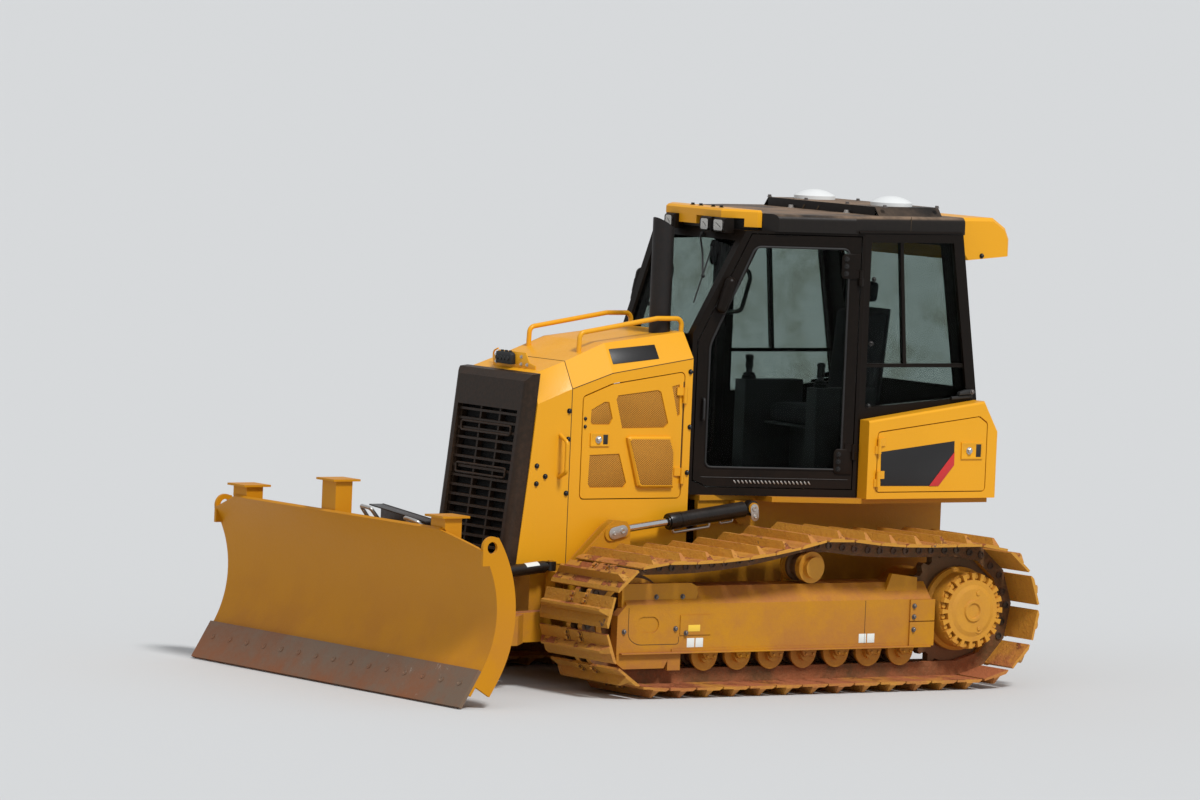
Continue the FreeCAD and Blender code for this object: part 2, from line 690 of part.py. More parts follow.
def beam_guards():
    """Cover, skirt, lip, hatch, wedge and end block on the outside of the beam."""
    face = BEAM_OUTER_Y
    cover_y = TRACK_Y + IDLER_WIDTH / 2 + 19
    cover = plate_xz(
        ((1276, 500), (1276, 612), (1256, 632), (800, 632), (762, 612), (750, 575), (762, 540), (790, 500)),
        cover_y, cover_y + 38)
    skirt = plate_xz(
        ((BEAM_FRONT_X - 3, BEAM_BOTTOM_Z + 30), (BEAM_FRONT_X - 3, 190), (BEAM_FRONT_X - 50, 155), (985, 155),
         (960, 200), (960, 142), (872, 142), (872, BEAM_BOTTOM_Z + 30)),
        face - 26, face - 1)
    lip = box(-716, 940, face - 1, face + 7, 243, 263)
    hatch = box(670, 885, face - 1, face + 6, 341, 452)
    wedge = plate_xz(((-590, 560), (-631, 660), (-813, 636), (-813, 560)), cover_y - 8, cover_y + 22)
    end_blocks = [box(-912, -736, face - 30, face + 12, z0, z1) for z0, z1 in ((246, 384), (390, 512))]
    return [cover, skirt, lip, hatch, wedge] + end_blocks


# Main frame

def main_frame():
    """Welded frame between the tracks, with its cross tubes."""
    sides = both_sides(box(
        FRAME_REAR_X, FRAME_FRONT_X, FRAME_HALF_WIDTH - FRAME_WALL, FRAME_HALF_WIDTH,
        FRAME_BOTTOM_Z, HOOD_BOTTOM_Z))
    rear_sides = both_sides(box(
        FRAME_REAR_X, DECK_FRONT_X, FRAME_HALF_WIDTH - FRAME_WALL, FRAME_HALF_WIDTH,
        HOOD_BOTTOM_Z, DECK_Z - DECK_THICKNESS - SEAT_GAP))
    inner = FRAME_HALF_WIDTH - FRAME_WALL
    belly = box(FRAME_REAR_X, FRAME_FRONT_X, -inner, inner, FRAME_BOTTOM_Z, FRAME_BOTTOM_Z + FRAME_WALL)
    front_beam = box(FRAME_FRONT_X - 90, FRAME_FRONT_X, -inner, inner,
                     FRAME_BOTTOM_Z + FRAME_WALL, HOOD_BOTTOM_Z)
    drive_case = box(FRAME_REAR_X, SPROCKET_X + 260, -inner, inner,
                     FRAME_BOTTOM_Z + FRAME_WALL, FRAME_TOP_Z - 60)
    cross_tubes = []
    for x, z in ((LIFT_PIVOT_X, LIFT_PIVOT_Z), (REAR_CROSS_X, LIFT_PIVOT_Z)):
        cross_tubes.append(across(x, z, inner, BEAM_INNER_Y, CROSS_TUBE_RADIUS))
        cross_tubes.append(across(x, z, -inner, -BEAM_INNER_Y, CROSS_TUBE_RADIUS))
    return fused(sides + rear_sides + [belly, front_beam, drive_case] + cross_tubes)


def fender_decks():
    """Wide deck over the tracks' rear and the narrow one in front of it."""
    wide = plate_xy(
        ((DECK_STEP_X, DECK_STEP_HALF), (CAB_CORNER_X, DECK_HALF_WIDTH),
         (BODY_REAR_X + 30, DECK_HALF_WIDTH), (BODY_REAR_X + 30, -DECK_HALF_WIDTH),
         (CAB_CORNER_X, -DECK_HALF_WIDTH), (DECK_STEP_X, -DECK_STEP_HALF)),
        DECK_Z - DECK_THICKNESS, DECK_Z)
    narrow = box(DECK_STEP_X + SEAT_GAP, DECK_FRONT_X, -DECK_FRONT_HALF, DECK_FRONT_HALF,
                 DECK_Z - DECK_THICKNESS, DECK_Z)
    return [wide, narrow]


def lift_bracket():
    """Chassis bracket, boss and pin that carry the rear eye of a lift cylinder."""
    x, z = LIFT_BARREL_PIN
    under_deck = DECK_Z - DECK_THICKNESS - SEAT_GAP
    eye_inner = LIFT_Y - LIFT_EYE_WIDTH / 2 - RUNNING_GAP
    plate_face = LIFT_Y - LIFT_BARREL_RADIUS - 8
    plate = plate_xz(
        ((x - 75, under_deck), (x - 75, z - 60), (x - 40, z - 95), (x + 40, z - 95),
         (x + 75, z - 60), (x + 75, under_deck)),
        FRAME_HALF_WIDTH + SEAT_GAP, plate_face)
    boss = across(x, z, plate_face - 1, eye_inner, LIFT_EYE_RADIUS - 8)
    eye_outer = LIFT_Y + LIFT_EYE_WIDTH / 2 + RUNNING_GAP
    pin = across(x, z, eye_inner - 1, eye_outer + 4, LIFT_PIN_RADIUS)
    keeper = across(x, z, eye_outer, eye_outer + 9, LIFT_PIN_RADIUS + 12)
    return plate.fuse([boss, pin, keeper])


def drawbar():
    """Rear hitch: a clevis with a vertical pin bore."""
    rear = DRAWBAR_X - 60
    jaws = []
    for z0 in (DRAWBAR_Z - 75, DRAWBAR_Z + 35):
        jaw = box(DRAWBAR_X, FRAME_REAR_X, -70, 70, z0, z0 + 40)
        nose = Part.makeCylinder(60, 40, V(DRAWBAR_X, 0, z0))
        jaws.append(jaw.cut(box(rear - 20, DRAWBAR_X + 1, -80, 80, z0 - 1, z0 + 41)).fuse(nose))
    pad = box(FRAME_REAR_X - 30, FRAME_REAR_X, -150, 150, DRAWBAR_Z - 110, DRAWBAR_Z + 110)
    block = box(DRAWBAR_X + 95, FRAME_REAR_X - 1, -70, 70, DRAWBAR_Z - 40, DRAWBAR_Z + 40)
    bore = Part.makeCylinder(DRAWBAR_PIN_RADIUS, 300, V(DRAWBAR_X, 0, DRAWBAR_Z - 150))
    return fused([pad, block] + jaws).cut(bore)


def engine_block():
    return box(560, 1180, -230, 230, FRAME_BOTTOM_Z + FRAME_WALL + SEAT_GAP, 1620)


# Hood, cowl, nose and grille

# Columns: x, half width at the side, shoulder height, half width of the top, top height
HOOD_SECTIONS = (
    (NOSE_REAR_TOP_X, NOSE_HALF_WIDTH + 10, 1600.0, 310.0, NOSE_TOP_Z),
    (COWL_JOINT_X, HOOD_HALF_WIDTH, 1681.0, 310.0, 1832.0),
    (970.0, HOOD_HALF_WIDTH, 1769.0, 300.0, 1935.0),
    (HOOD_REAR_X, HOOD_HALF_WIDTH, 1853.0, 290.0, 2000.0),
)


def hood_wire(section, inset, bottom):
    x, side, shoulder, top_half, top = section
    side -= inset
    shoulder -= inset * 0.4
    top_half -= inset * 0.6
    top -= inset
    corners = ((side, bottom), (side, shoulder), (top_half, top),
               (-top_half, top), (-side, shoulder), (-side, bottom))
    points = [V(x, y, z) for y, z in corners]
    return Part.makePolygon(points + [points[0]])


def hood_body(first, last, inset, bottom):
    """Solid through neighbouring hood sections."""
    solids = []
    for a, b in zip(HOOD_SECTIONS[first:last], HOOD_SECTIONS[first + 1:last + 1]):
        solids.append(Part.makeLoft([hood_wire(a, inset, bottom), hood_wire(b, inset, bottom)], True, True))
    return solids[0] if len(solids) == 1 else fused(solids)


def door_panel_points(grow):
    """Outline of an engine door, larger by a gap where it is the opening."""
    return (
        (ENGINE_DOOR_FRONT_X + grow, ENGINE_DOOR_BOTTOM_Z - grow),
        (ENGINE_DOOR_FRONT_X + grow, 1633.0 + grow), (967.0 + grow, 1705.0 + grow),
        (ENGINE_DOOR_REAR_X - grow, 1775.0 + grow),
        (ENGINE_DOOR_REAR_X - grow, ENGINE_DOOR_BOTTOM_Z - grow),
    )


def hood():
    """Top cover and the fixed side frames round the engine doors."""
    outer = hood_body(1, 3, 0, HOOD_BOTTOM_Z)
    inner = hood_body(1, 3, HOOD_WALL, HOOD_BOTTOM_Z - 1)
    shell = outer.cut(inner)
    openings = []
    outline = door_panel_points(PANEL_GAP)
    for y0 in (HOOD_HALF_WIDTH - HOOD_WALL - 1, -HOOD_HALF_WIDTH - 1):
        openings.append(rounded_corners(plate_xz(outline, y0, y0 + HOOD_WALL + 2), 30))
    stack_hole = rod(V(EXHAUST_X, EXHAUST_Y, 1900), V(EXHAUST_X, EXHAUST_Y, 2100), EXHAUST_RADIUS + SEAT_GAP)
    hinges = []
    for half in engine_door_hinges()[0]:
        hinges += both_sides(half)
    return fused([shell.cut(openings + [stack_hole])] + hinges)


def engine_door_hinges():
    edge = V(ENGINE_DOOR_REAR_X, HOOD_HALF_WIDTH, 0)
    return hinge_halves(edge, V(1, 0, 0), (ENGINE_DOOR_BOTTOM_Z + 80, ENGINE_DOOR_BOTTOM_Z + 540))


def front_cowl():
    """Yellow surround between the hood and the nose, down to the main frame."""
    def cowl(inset):
        stations = (
            (COWL_JOINT_X, HOOD_HALF_WIDTH, 1681.0, 310.0, 1832.0),
            (NOSE_REAR_TOP_X, NOSE_HALF_WIDTH + 10, 1600.0, 310.0, NOSE_TOP_Z),
            (NOSE_REAR_BOTTOM_X, NOSE_HALF_WIDTH + 2, 1545.0, 308.0, 1720.0),
        )
        solids = []
        for a, b in zip(stations, stations[1:]):
            wires = [hood_wire(a, inset, HOOD_BOTTOM_Z - inset), hood_wire(b, inset, HOOD_BOTTOM_Z - inset)]
            solids.append(Part.makeLoft(wires, True, True))
        return fused(solids)
    lean = plate_xz(
        ((NOSE_REAR_TOP_X, NOSE_TOP_Z + 100), (NOSE_REAR_TOP_X, NOSE_TOP_Z), (NOSE_KNEE_X, NOSE_KNEE_Z),
         (NOSE_REAR_BOTTOM_X, NOSE_BOTTOM_Z), (1800, NOSE_BOTTOM_Z), (1800, NOSE_TOP_Z + 100)),
        -600, 600)
    return cowl(0).cut(cowl(HOOD_WALL)).cut(lean)


def cowl_handle():
    """Upright grab handle on the cowl, seated on its side."""
    foot_y = HOOD_HALF_WIDTH - 6.7
    handle = bent_tube(
        [V(1310, foot_y - 30, 1434), V(1310, foot_y + 69, 1385), V(1310, foot_y + 69, 1213),
         V(1310, foot_y - 30, 1168)], 11, 24)
    return handle.common(box(1200, 1400, foot_y, foot_y + 200, 1000, 1600))


def nose_outline(front, back):
    """Side outline of the nose, moved forward by the given depths."""
    return (
        (NOSE_REAR_TOP_X + back, NOSE_TOP_Z), (NOSE_REAR_TOP_X + front - 30, NOSE_TOP_Z - 6),
        (NOSE_REAR_TOP_X + front, NOSE_TOP_Z - 45), (NOSE_KNEE_X + front, NOSE_KNEE_Z),
        (NOSE_REAR_BOTTOM_X + front, NOSE_BOTTOM_Z), (NOSE_REAR_BOTTOM_X + back, NOSE_BOTTOM_Z),
        (NOSE_KNEE_X + back, NOSE_KNEE_Z),
    )


def nose_shell():
    """Dark leaning shell round the grille."""
    body = plate_xz(nose_outline(NOSE_DEPTH, SEAT_GAP), -NOSE_HALF_WIDTH, NOSE_HALF_WIDTH)
    upright = [e for e in body.Edges
               if abs(abs(e.CenterOfMass.y) - NOSE_HALF_WIDTH) < 1 and e.Length > 100
               and e.CenterOfMass.x > nose_face_x(e.CenterOfMass.z) - 10]
    body = body.makeFillet(NOSE_ROUND, upright)
    window = box(1400, 1800, -GRILLE_HALF_WIDTH, GRILLE_HALF_WIDTH, GRILLE_BOTTOM_Z, GRILLE_TOP_Z)
    return body.cut(window)


def nose_face_x(z):
    """Front plane of the nose at a height."""
    if z > NOSE_KNEE_Z:
        share = (z - NOSE_KNEE_Z) / (NOSE_TOP_Z - 45 - NOSE_KNEE_Z)
        return NOSE_KNEE_X + share * (NOSE_REAR_TOP_X - NOSE_KNEE_X) + NOSE_DEPTH
    share = (NOSE_KNEE_Z - z) / (NOSE_KNEE_Z - NOSE_BOTTOM_Z)
    return NOSE_KNEE_X + share * (NOSE_REAR_BOTTOM_X - NOSE_KNEE_X) + NOSE_DEPTH


def grille():
    """Level slats with two uprights behind them."""
    pieces = []
    width = GRILLE_HALF_WIDTH - SEAT_GAP
    step = (GRILLE_TOP_Z - GRILLE_BOTTOM_Z) / SLAT_COUNT
    for i in range(SLAT_COUNT):
        z = GRILLE_BOTTOM_Z + (i + 0.5) * step
        x = nose_face_x(z) - 16
        pieces.append(box(x - 34, x, -width, width, z - SLAT_HEIGHT / 2, z + SLAT_HEIGHT / 2))
    for y in (-width + 8, -95, 95, width - 8):
        points = []
        for z in (GRILLE_BOTTOM_Z + 1, NOSE_KNEE_Z, GRILLE_TOP_Z - 1):
            points.append((nose_face_x(z) - 26, z))
        for z in (GRILLE_TOP_Z - 1, NOSE_KNEE_Z, GRILLE_BOTTOM_Z + 1):
            points.append((nose_face_x(z) - 60, z))
        pieces.append(plate_xz(points, y - 8, y + 8))
    return fused(pieces)


# Outlines on the engine door, x and z
DOOR_GRILLES = (
    ((1108, 1562), (1018, 1608), (987, 1606), (959, 1512), (978, 1477), (1097, 1478), (1111, 1491)),
    ((926, 1644), (650, 1674), (627, 1663), (569, 1483), (596, 1458), (890, 1455), (938, 1621)),
    ((552, 1694), (500, 1706), (492, 1532), (506, 1521)),
    ((1108, 1306), (903, 1312), (847, 1146), (863, 1119), (1099, 1119), (1113, 1143)),
)
DOOR_BOX = ((861, 1402), (841, 1411), (560, 1409), (530, 1320), (530, 1116), (759, 1118), (780, 1129))


def engine_door():
    """Left engine door, hinged at its rear edge, with sunk grilles and a raised box."""
    outer = HOOD_HALF_WIDTH
    panel = plate_xz(door_panel_points(0), outer - ENGINE_DOOR_THICKNESS, outer)
    panel = rounded_corners(panel, 26)
    sunk = [plate_xz(points, outer - GRILLE_SINK, outer + 1) for points in DOOR_GRILLES]
    raised = plate_xz(DOOR_BOX, outer - 1, outer + DOOR_BOX_HEIGHT)
    front_edges = [e for e in raised.Edges if abs(e.CenterOfMass.y - outer - DOOR_BOX_HEIGHT) < 0.1]
    raised = raised.makeChamfer(10, front_edges)
    return fused([panel.cut(sunk), raised] + engine_door_hinges()[1])


def hood_handrail():
    y = HANDRAIL_Y
    route = (V(1110, y, 1862), V(1105, y, 1988), V(570, y, 2072), V(395, y, 2072), V(400, y, 1990))
    rail = bent_tube(list(route), HANDRAIL_RADIUS, 38)
    return rail.cut(hood_body(1, 3, 0, HOOD_BOTTOM_Z))


def exhaust_stack():
    """Straight pipe with a wider sleeve and a slanted open mouth."""
    low = V(EXHAUST_X, EXHAUST_Y, 1700)
    high = V(EXHAUST_X, EXHAUST_Y, EXHAUST_TOP_Z)
    pipe = rod(low, high, EXHAUST_RADIUS)
    bore = rod(V(EXHAUST_X, EXHAUST_Y, 2300), high + V(0, 0, 1), EXHAUST_RADIUS - 6)
    slant = plate_xz(
        ((EXHAUST_X - 100, EXHAUST_TOP_Z - 100), (EXHAUST_X + 100, EXHAUST_TOP_Z + 20),
         (EXHAUST_X + 100, EXHAUST_TOP_Z + 60), (EXHAUST_X - 100, EXHAUST_TOP_Z + 60)),
        EXHAUST_Y - 100, EXHAUST_Y + 100)
    return pipe.cut([bore, slant])


# Cab

def cab_plan(inset):
    """Plan of the cab: narrow at the front, flared along the doors, straight behind."""
    return (
        (CAB_FRONT_X - inset, CAB_FRONT_Y - inset), (CAB_CORNER_X, CAB_CORNER_Y - inset),
        (CAB_REAR_X + inset, CAB_CORNER_Y - 20 - inset), (CAB_REAR_X + inset, -CAB_CORNER_Y + 20 + inset),
        (CAB_CORNER_X, -CAB_CORNER_Y + inset), (CAB_FRONT_X - inset, -CAB_FRONT_Y + inset),
    )


def cab_half(x):
    """Half width of the cab along its flared part."""
    share = (CAB_FRONT_X - x) / (CAB_FRONT_X - CAB_CORNER_X)
    return CAB_FRONT_Y + share * (CAB_CORNER_Y - CAB_FRONT_Y)


def cab_side_outline():
    """Side view of the cab."""
    return (
        (CAB_FRONT_X, DECK_Z), (CAB_FRONT_X + 15, WAIST_Z), (BROW_X, CAB_TOP_Z),
        (CAB_REAR_TOP_X, CAB_TOP_Z), (CAB_REAR_X, REAR_SILL_Z), (CAB_REAR_X, DECK_Z),
    )


def door_frame():
    """Place of the left door: hinge line, direction forward along the door, outward way."""
    reach = V(CAB_FRONT_X - CAB_CORNER_X, CAB_FRONT_Y - CAB_CORNER_Y, 0)
    along = V(reach).normalize()
    outward = V(-along.y, along.x, 0)
    start = V(CAB_CORNER_X, CAB_CORNER_Y, 0)
    return start, along, outward, reach.Length


def in_door_plane(points, depth0, depth1):
    """Plate whose outline is given as distance from the corner post and height."""
    start, along, outward, _ = door_frame()
    base = [start + along * u + outward * depth0 + V(0, 0, z) for u, z in points]
    return closed_face(base).extrude(outward * (depth1 - depth0))


def door_outline(shrink):
    """Outline of the door along its own plane, smaller by a gap or rail width."""
    length = door_frame()[3]
    front = length - POST * 0.55 - shrink
    rear = DOOR_REAR + shrink
    share = (length - (CAB_FRONT_X - BROW_X) * 1.03) - POST * 0.75
    return (
        (rear, CAB_SILL_Z + shrink), (front - DOOR_CORNER_LENGTH, CAB_SILL_Z + shrink),
        (front, CAB_SILL_Z + DOOR_CORNER_HEIGHT + shrink),
        (front, WAIST_Z - 10 - shrink * 0.3), (share - shrink * 0.6, CAB_TOP_Z - 20 - shrink),
        (rear, CAB_TOP_Z - 20 - shrink),
    )


def cab_frame():
    """Hollow welded cab with floor, posts and rails, open at the doors and windows."""
    outer = plate_xz(cab_side_outline(), -CAB_CORNER_Y - 20, CAB_CORNER_Y + 20)
    outer = outer.common(plate_xy(cab_plan(0), DECK_Z, CAB_TOP_Z))
    side = cab_side_outline()
    inner_side = (
        (side[0][0] - CAB_WALL, DECK_Z + CAB_WALL), (side[1][0] - CAB_WALL, WAIST_Z - 8),
        (BROW_X - CAB_WALL, CAB_TOP_Z - CAB_WALL), (CAB_REAR_TOP_X + CAB_WALL, CAB_TOP_Z - CAB_WALL),
        (CAB_REAR_X + CAB_WALL, REAR_SILL_Z), (CAB_REAR_X + CAB_WALL, DECK_Z + CAB_WALL),
    )
    inner = plate_xz(inner_side, -CAB_CORNER_Y - 20, CAB_CORNER_Y + 20)
    inner = inner.common(plate_xy(cab_plan(CAB_WALL + 10), DECK_Z + CAB_WALL, CAB_TOP_Z))
    door_way = in_door_plane(door_outline(-DOOR_GAP), -120, 60)
    side_window = plate_xz(side_window_points(), CAB_CORNER_Y - 140, CAB_CORNER_Y + 40)
    windshield = plate_yz(windshield_points(0), 0, 500)
    rear_window = box(CAB_REAR_X - 50, CAB_REAR_TOP_X + 80, -REAR_WINDOW_HALF, REAR_WINDOW_HALF,
                      REAR_SILL_Z + 60, CAB_TOP_Z - 70)
    cuts = [inner, windshield, rear_window]
    cuts += both_sides(door_way) + both_sides(side_window)
    hinges = []
    for half in cab_door_hinges()[0]:
        hinges += both_sides(half)
    bars = []
    for bar in side_window_bars(0):
        bars += both_sides(bar)
    return fused([outer.cut(cuts)] + hinges + bars)


def windshield_points(shrink):
    """Windshield opening seen from the front, wider at the top."""
    low, high = WAIST_Z + 30 + shrink, CAB_TOP_Z - 60 - shrink
    low_half, high_half = WINDSHIELD_HALF - shrink, WINDSHIELD_TOP_HALF - shrink
    return ((-low_half, low), (low_half, low), (high_half, high), (-high_half, high))


def side_window_bars(grow):
    """Level bar across a side window and the leaning bar above it."""
    face = CAB_CORNER_Y - 28 + grow
    back = CAB_CORNER_Y - 58 - grow
    half = WINDOW_BAR / 2 + grow
    level = box(CAB_REAR_X + 55, CAB_CORNER_X - 25, back, face, CROSSBAR_Z - half, CROSSBAR_Z + half)
    leaning = plate_xz(
        ((-912 - half, CROSSBAR_Z), (-912 + half, CROSSBAR_Z), (-852 + half, CAB_TOP_Z - 25),
         (-852 - half, CAB_TOP_Z - 25)), back, face)
    return [level, leaning]


def cab_door_hinges():
    start, along, _, _ = door_frame()
    return hinge_halves(start + along * DOOR_REAR, along, (CAB_SILL_Z + 170, CAB_TOP_Z - 300))


def side_window_points():
    return (
        (CAB_CORNER_X - 45, REAR_SILL_Z - 50), (CAB_CORNER_X - 45, CAB_TOP_Z - 48),
        (CAB_REAR_TOP_X + 68, CAB_TOP_Z - 48), (CAB_REAR_X + 72, REAR_SILL_Z + 8),
    )


def cab_glass():
    """Windshield, side and rear panes, seated inside their openings."""
    lean = (BROW_X - CAB_FRONT_X - 15) / (CAB_TOP_Z - WAIST_Z)

    def front_x(z):
        return CAB_FRONT_X + 15 + lean * (z - WAIST_Z) - CAB_WALL / 2
    low, high = WAIST_Z, CAB_TOP_Z
    front = plate_xz(((front_x(low), low), (front_x(high), high), (front_x(high) - GLASS_THICKNESS, high),
                      (front_x(low) - GLASS_THICKNESS, low)), -CAB_FRONT_Y - 100, CAB_FRONT_Y + 100)
    front = front.common(plate_yz(windshield_points(SEAT_GAP), 0, 500))
    side_y = CAB_CORNER_Y - 46
    pane = closed_face([V(x, side_y, z) for x, z in side_window_points()])
    side = pane.makeOffset2D(-SEAT_GAP, 2).extrude(V(0, GLASS_THICKNESS, 0))
    panes = side.cut(side_window_bars(SEAT_GAP)).Solids
    rear_lean = (CAB_REAR_TOP_X - CAB_REAR_X) / (CAB_TOP_Z - REAR_SILL_Z)

    def rear_x(z):
        return CAB_REAR_X + rear_lean * (z - REAR_SILL_Z) + CAB_WALL / 2
    low, high = REAR_SILL_Z + 60 + SEAT_GAP, CAB_TOP_Z - 70 - SEAT_GAP
    half = REAR_WINDOW_HALF - SEAT_GAP
    rear = plate_xz(((rear_x(low), low), (rear_x(high), high), (rear_x(high) + GLASS_THICKNESS, high),
                     (rear_x(low) + GLASS_THICKNESS, low)), -half, half)
    return [front, rear] + panes + [mirrored(p) for p in panes]


def cab_door():
    """Framed door with its window opening, handle side at the front."""
    panel = in_door_plane(door_outline(0), -DOOR_THICKNESS, 0)
    length = door_frame()[3]
    rail = DOOR_RAIL
    window = (
        (DOOR_REAR + rail, CAB_SILL_Z + DOOR_SILL_RAIL), (length - POST * 0.55 - rail, CAB_SILL_Z + DOOR_SILL_RAIL),
        (length - POST * 0.55 - rail, WAIST_Z - 30),
        (door_outline(0)[4][0] - rail * 0.6, CAB_TOP_Z - 20 - rail), (DOOR_REAR + rail, CAB_TOP_Z - 20 - rail),
    )
    panel = panel.cut(rounded_window(window, -DOOR_THICKNESS - 1, 1, DOOR_WINDOW_ROUND))
    return fused([panel] + cab_door_hinges()[1]), window


def cab_door_glass():
    window = cab_door()[1]
    low = -DOOR_THICKNESS / 2 - GLASS_THICKNESS / 2
    start, along, outward, _ = door_frame()
    base = [start + along * u + outward * low + V(0, 0, z) for u, z in window]
    pane = closed_face(base).makeOffset2D(-SEAT_GAP, 2).extrude(outward * GLASS_THICKNESS)
    return pane.makeFillet(DOOR_WINDOW_ROUND, edges_through(pane, outward))


def edges_through(plate, way):
    """Edges that cross a plate's thickness."""
    return [e for e in plate.Edges if abs(e.tangentAt(e.FirstParameter).dot(way)) > 0.99]


def rounded_window(points, depth0, depth1, radius):
    """Cutter through the door with rounded corners."""
    plate = in_door_plane(points, depth0, depth1)
    return plate.makeFillet(radius, edges_through(plate, door_frame()[2]))


def cab_roof():
    """Thick black roof, narrower at the front, with rounded side rails."""
    slab = plate_xy(roof_plan(0), CAB_TOP_Z, ROOF_TOP_Z)
    side_edges = [e for e in slab.Edges if abs(e.CenterOfMass.z - ROOF_TOP_Z) < 0.1
                  and abs(e.CenterOfMass.y) > CAB_CORNER_Y - 140]
    return slab.makeFillet(35, side_edges)


def roof_plan(grow):
    """Plan of the roof; its front corners lie inside the visor's wall."""
    front = VISOR_FRONT_X - VISOR_WALL + grow
    left = (
        (front, VISOR_FRONT_HALF - 14 + grow * 0.4), (VISOR_CORNER_X - 26 + grow, VISOR_HALF_WIDTH - 24 + grow),
        (VISOR_CORNER_X - 32, VISOR_HALF_WIDTH + 2 + grow), (-60, cab_half(-60) + 24 + grow),
        (CAB_CORNER_X + 60, CAB_CORNER_Y - 17 + grow), (CAB_REAR_TOP_X - 10 - grow, CAB_CORNER_Y - 17 + grow),
    )
    return left + tuple((x, -y) for x, y in reversed(left))


def roof_tray():
    """Low sheet-metal tray across the roof that carries the two domes."""
    low = ROOF_TOP_Z
    high = low + TRAY_HEIGHT
    outline = ((-TRAY_HALF_WIDTH - 40, low), (-TRAY_HALF_WIDTH, high), (TRAY_HALF_WIDTH, high),
               (TRAY_HALF_WIDTH + 40, low), (TRAY_HALF_WIDTH + 34, low), (TRAY_HALF_WIDTH - 4, high - 6),
               (-TRAY_HALF_WIDTH + 4, high - 6), (-TRAY_HALF_WIDTH - 34, low))
    cover = plate_yz(outline, TRAY_REAR_X, TRAY_FRONT_X)
    front = box(TRAY_FRONT_X - 6, TRAY_FRONT_X, -TRAY_HALF_WIDTH, TRAY_HALF_WIDTH, low, high)
    return fused([cover, front])


def antenna_domes():
    domes = []
    for y in (-DOME_Y, DOME_Y):
        low = ROOF_TOP_Z + TRAY_HEIGHT
        skirt = DOME_HEIGHT * 0.35
        base = V(DOME_X, y, low)
        body = Part.makeCylinder(DOME_RADIUS, skirt, base)
        rise = DOME_HEIGHT - skirt
        ball_radius = (DOME_RADIUS ** 2 + rise ** 2) / (2 * rise)
        cap = Part.makeSphere(ball_radius, base + V(0, 0, DOME_HEIGHT - ball_radius))
        cap = cap.common(Part.makeCylinder(DOME_RADIUS, rise, base + V(0, 0, skirt)))
        domes.append(body.fuse(cap).removeSplitter())
    return domes


def roof_visor():
    """Yellow brow wrapped round the roof's front and cut away over the lamps."""
    rear = VISOR_CORNER_X - 29.5
    left = ((VISOR_FRONT_X, VISOR_FRONT_HALF), (VISOR_CORNER_X, VISOR_HALF_WIDTH), (rear, VISOR_HALF_WIDTH))
    plan = left + tuple((x, -y) for x, y in reversed(left))
    top = ROOF_TOP_Z + 16
    body = plate_xy(plan, VISOR_BOTTOM_Z, top)
    top_edges = [e for e in body.Edges if abs(e.CenterOfMass.z - top) < 0.1 and e.CenterOfMass.x > rear + 1]
    body = body.makeChamfer(12, top_edges)
    room = plate_xy(roof_plan(SEAT_GAP), VISOR_BOTTOM_Z - 1, ROOF_TOP_Z + SEAT_GAP)
    cuts = [room]
    # Columns: right edge, left edge of a lamp's recess
    for y0, y1 in ((-285, -138), (30, 372)):
        cuts.append(box(-100, VISOR_FRONT_X + 1, y0, y1, VISOR_BOTTOM_Z - 1, LAMP_TOP_Z))
    return body.cut(cuts)


def work_lights():
    """Two lamps under the left of the brow and one under its right, in their housings."""
    lamps = []
    x0 = VISOR_FRONT_X - VISOR_WALL + 4
    middle_z = (LAMP_TOP_Z + LAMP_BOTTOM_Z) / 2
    # Columns: y of the middle, half width, front
    for y, half, x1 in ((299, 58, 196), (170, 50, 200), (-183, 45, 200)):
        body = box(x0, x1, y - half, y + half, LAMP_BOTTOM_Z, LAMP_TOP_Z - SEAT_GAP)
        body = body.makeChamfer(9, [e for e in body.Edges if abs(e.CenterOfMass.x - x1) < 0.1])
        lens = Part.makeCylinder(34, 7, V(x1 - 1, y, middle_z), V(1, 0, 0))
        lamps.append(body.fuse(lens).removeSplitter())
    return lamps


def rear_roof_cover():
    """Rounded cover behind the roof."""
    rear_of_roof = CAB_REAR_TOP_X - 10 - SEAT_GAP
    top = ROOF_TOP_Z
    outline = ((rear_of_roof, top - 6), (REAR_COVER_X + 125, top - 6), (REAR_COVER_X + 30, top - 66),
               (REAR_COVER_X, top - 130), (REAR_COVER_X, top - 228), (CAB_REAR_TOP_X - 135, top - 256),
               (rear_of_roof, CAB_TOP_Z))
    cover = plate_xz(outline, -REAR_COVER_HALF_WIDTH, REAR_COVER_HALF_WIDTH)
    ends = [e for e in cover.Edges if abs(abs(e.CenterOfMass.y) - REAR_COVER_HALF_WIDTH) < 0.1
            and e.CenterOfMass.x < rear_of_roof - 1 and e.CenterOfMass.z > 2500]
    return cover.makeChamfer(REAR_COVER_ROUND, ends)


def seat():
    """Pedestal, cushion and back."""
    pedestal = box(-1030, -720, -180, 180, DECK_Z + CAB_WALL, 1430)
    cushion = box(-1060, -560, -250, 250, 1430, 1560)
    cushion = cushion.makeFillet(35, [e for e in cushion.Edges if e.CenterOfMass.z > 1550])
    back = plate_xz(((-1080, 1500), (-970, 1500), (-1040, CAB_TOP_Z - 440), (-1130, CAB_TOP_Z - 440)), -240, 240)
    back = back.makeFillet(30, [e for e in back.Edges if abs(e.CenterOfMass.y) > 200])
    head = box(-1140, -1050, -130, 130, CAB_TOP_Z - 450, CAB_TOP_Z - 290)
    head = head.makeFillet(25, head.Edges)
    return fused([pedestal, cushion, back, head])


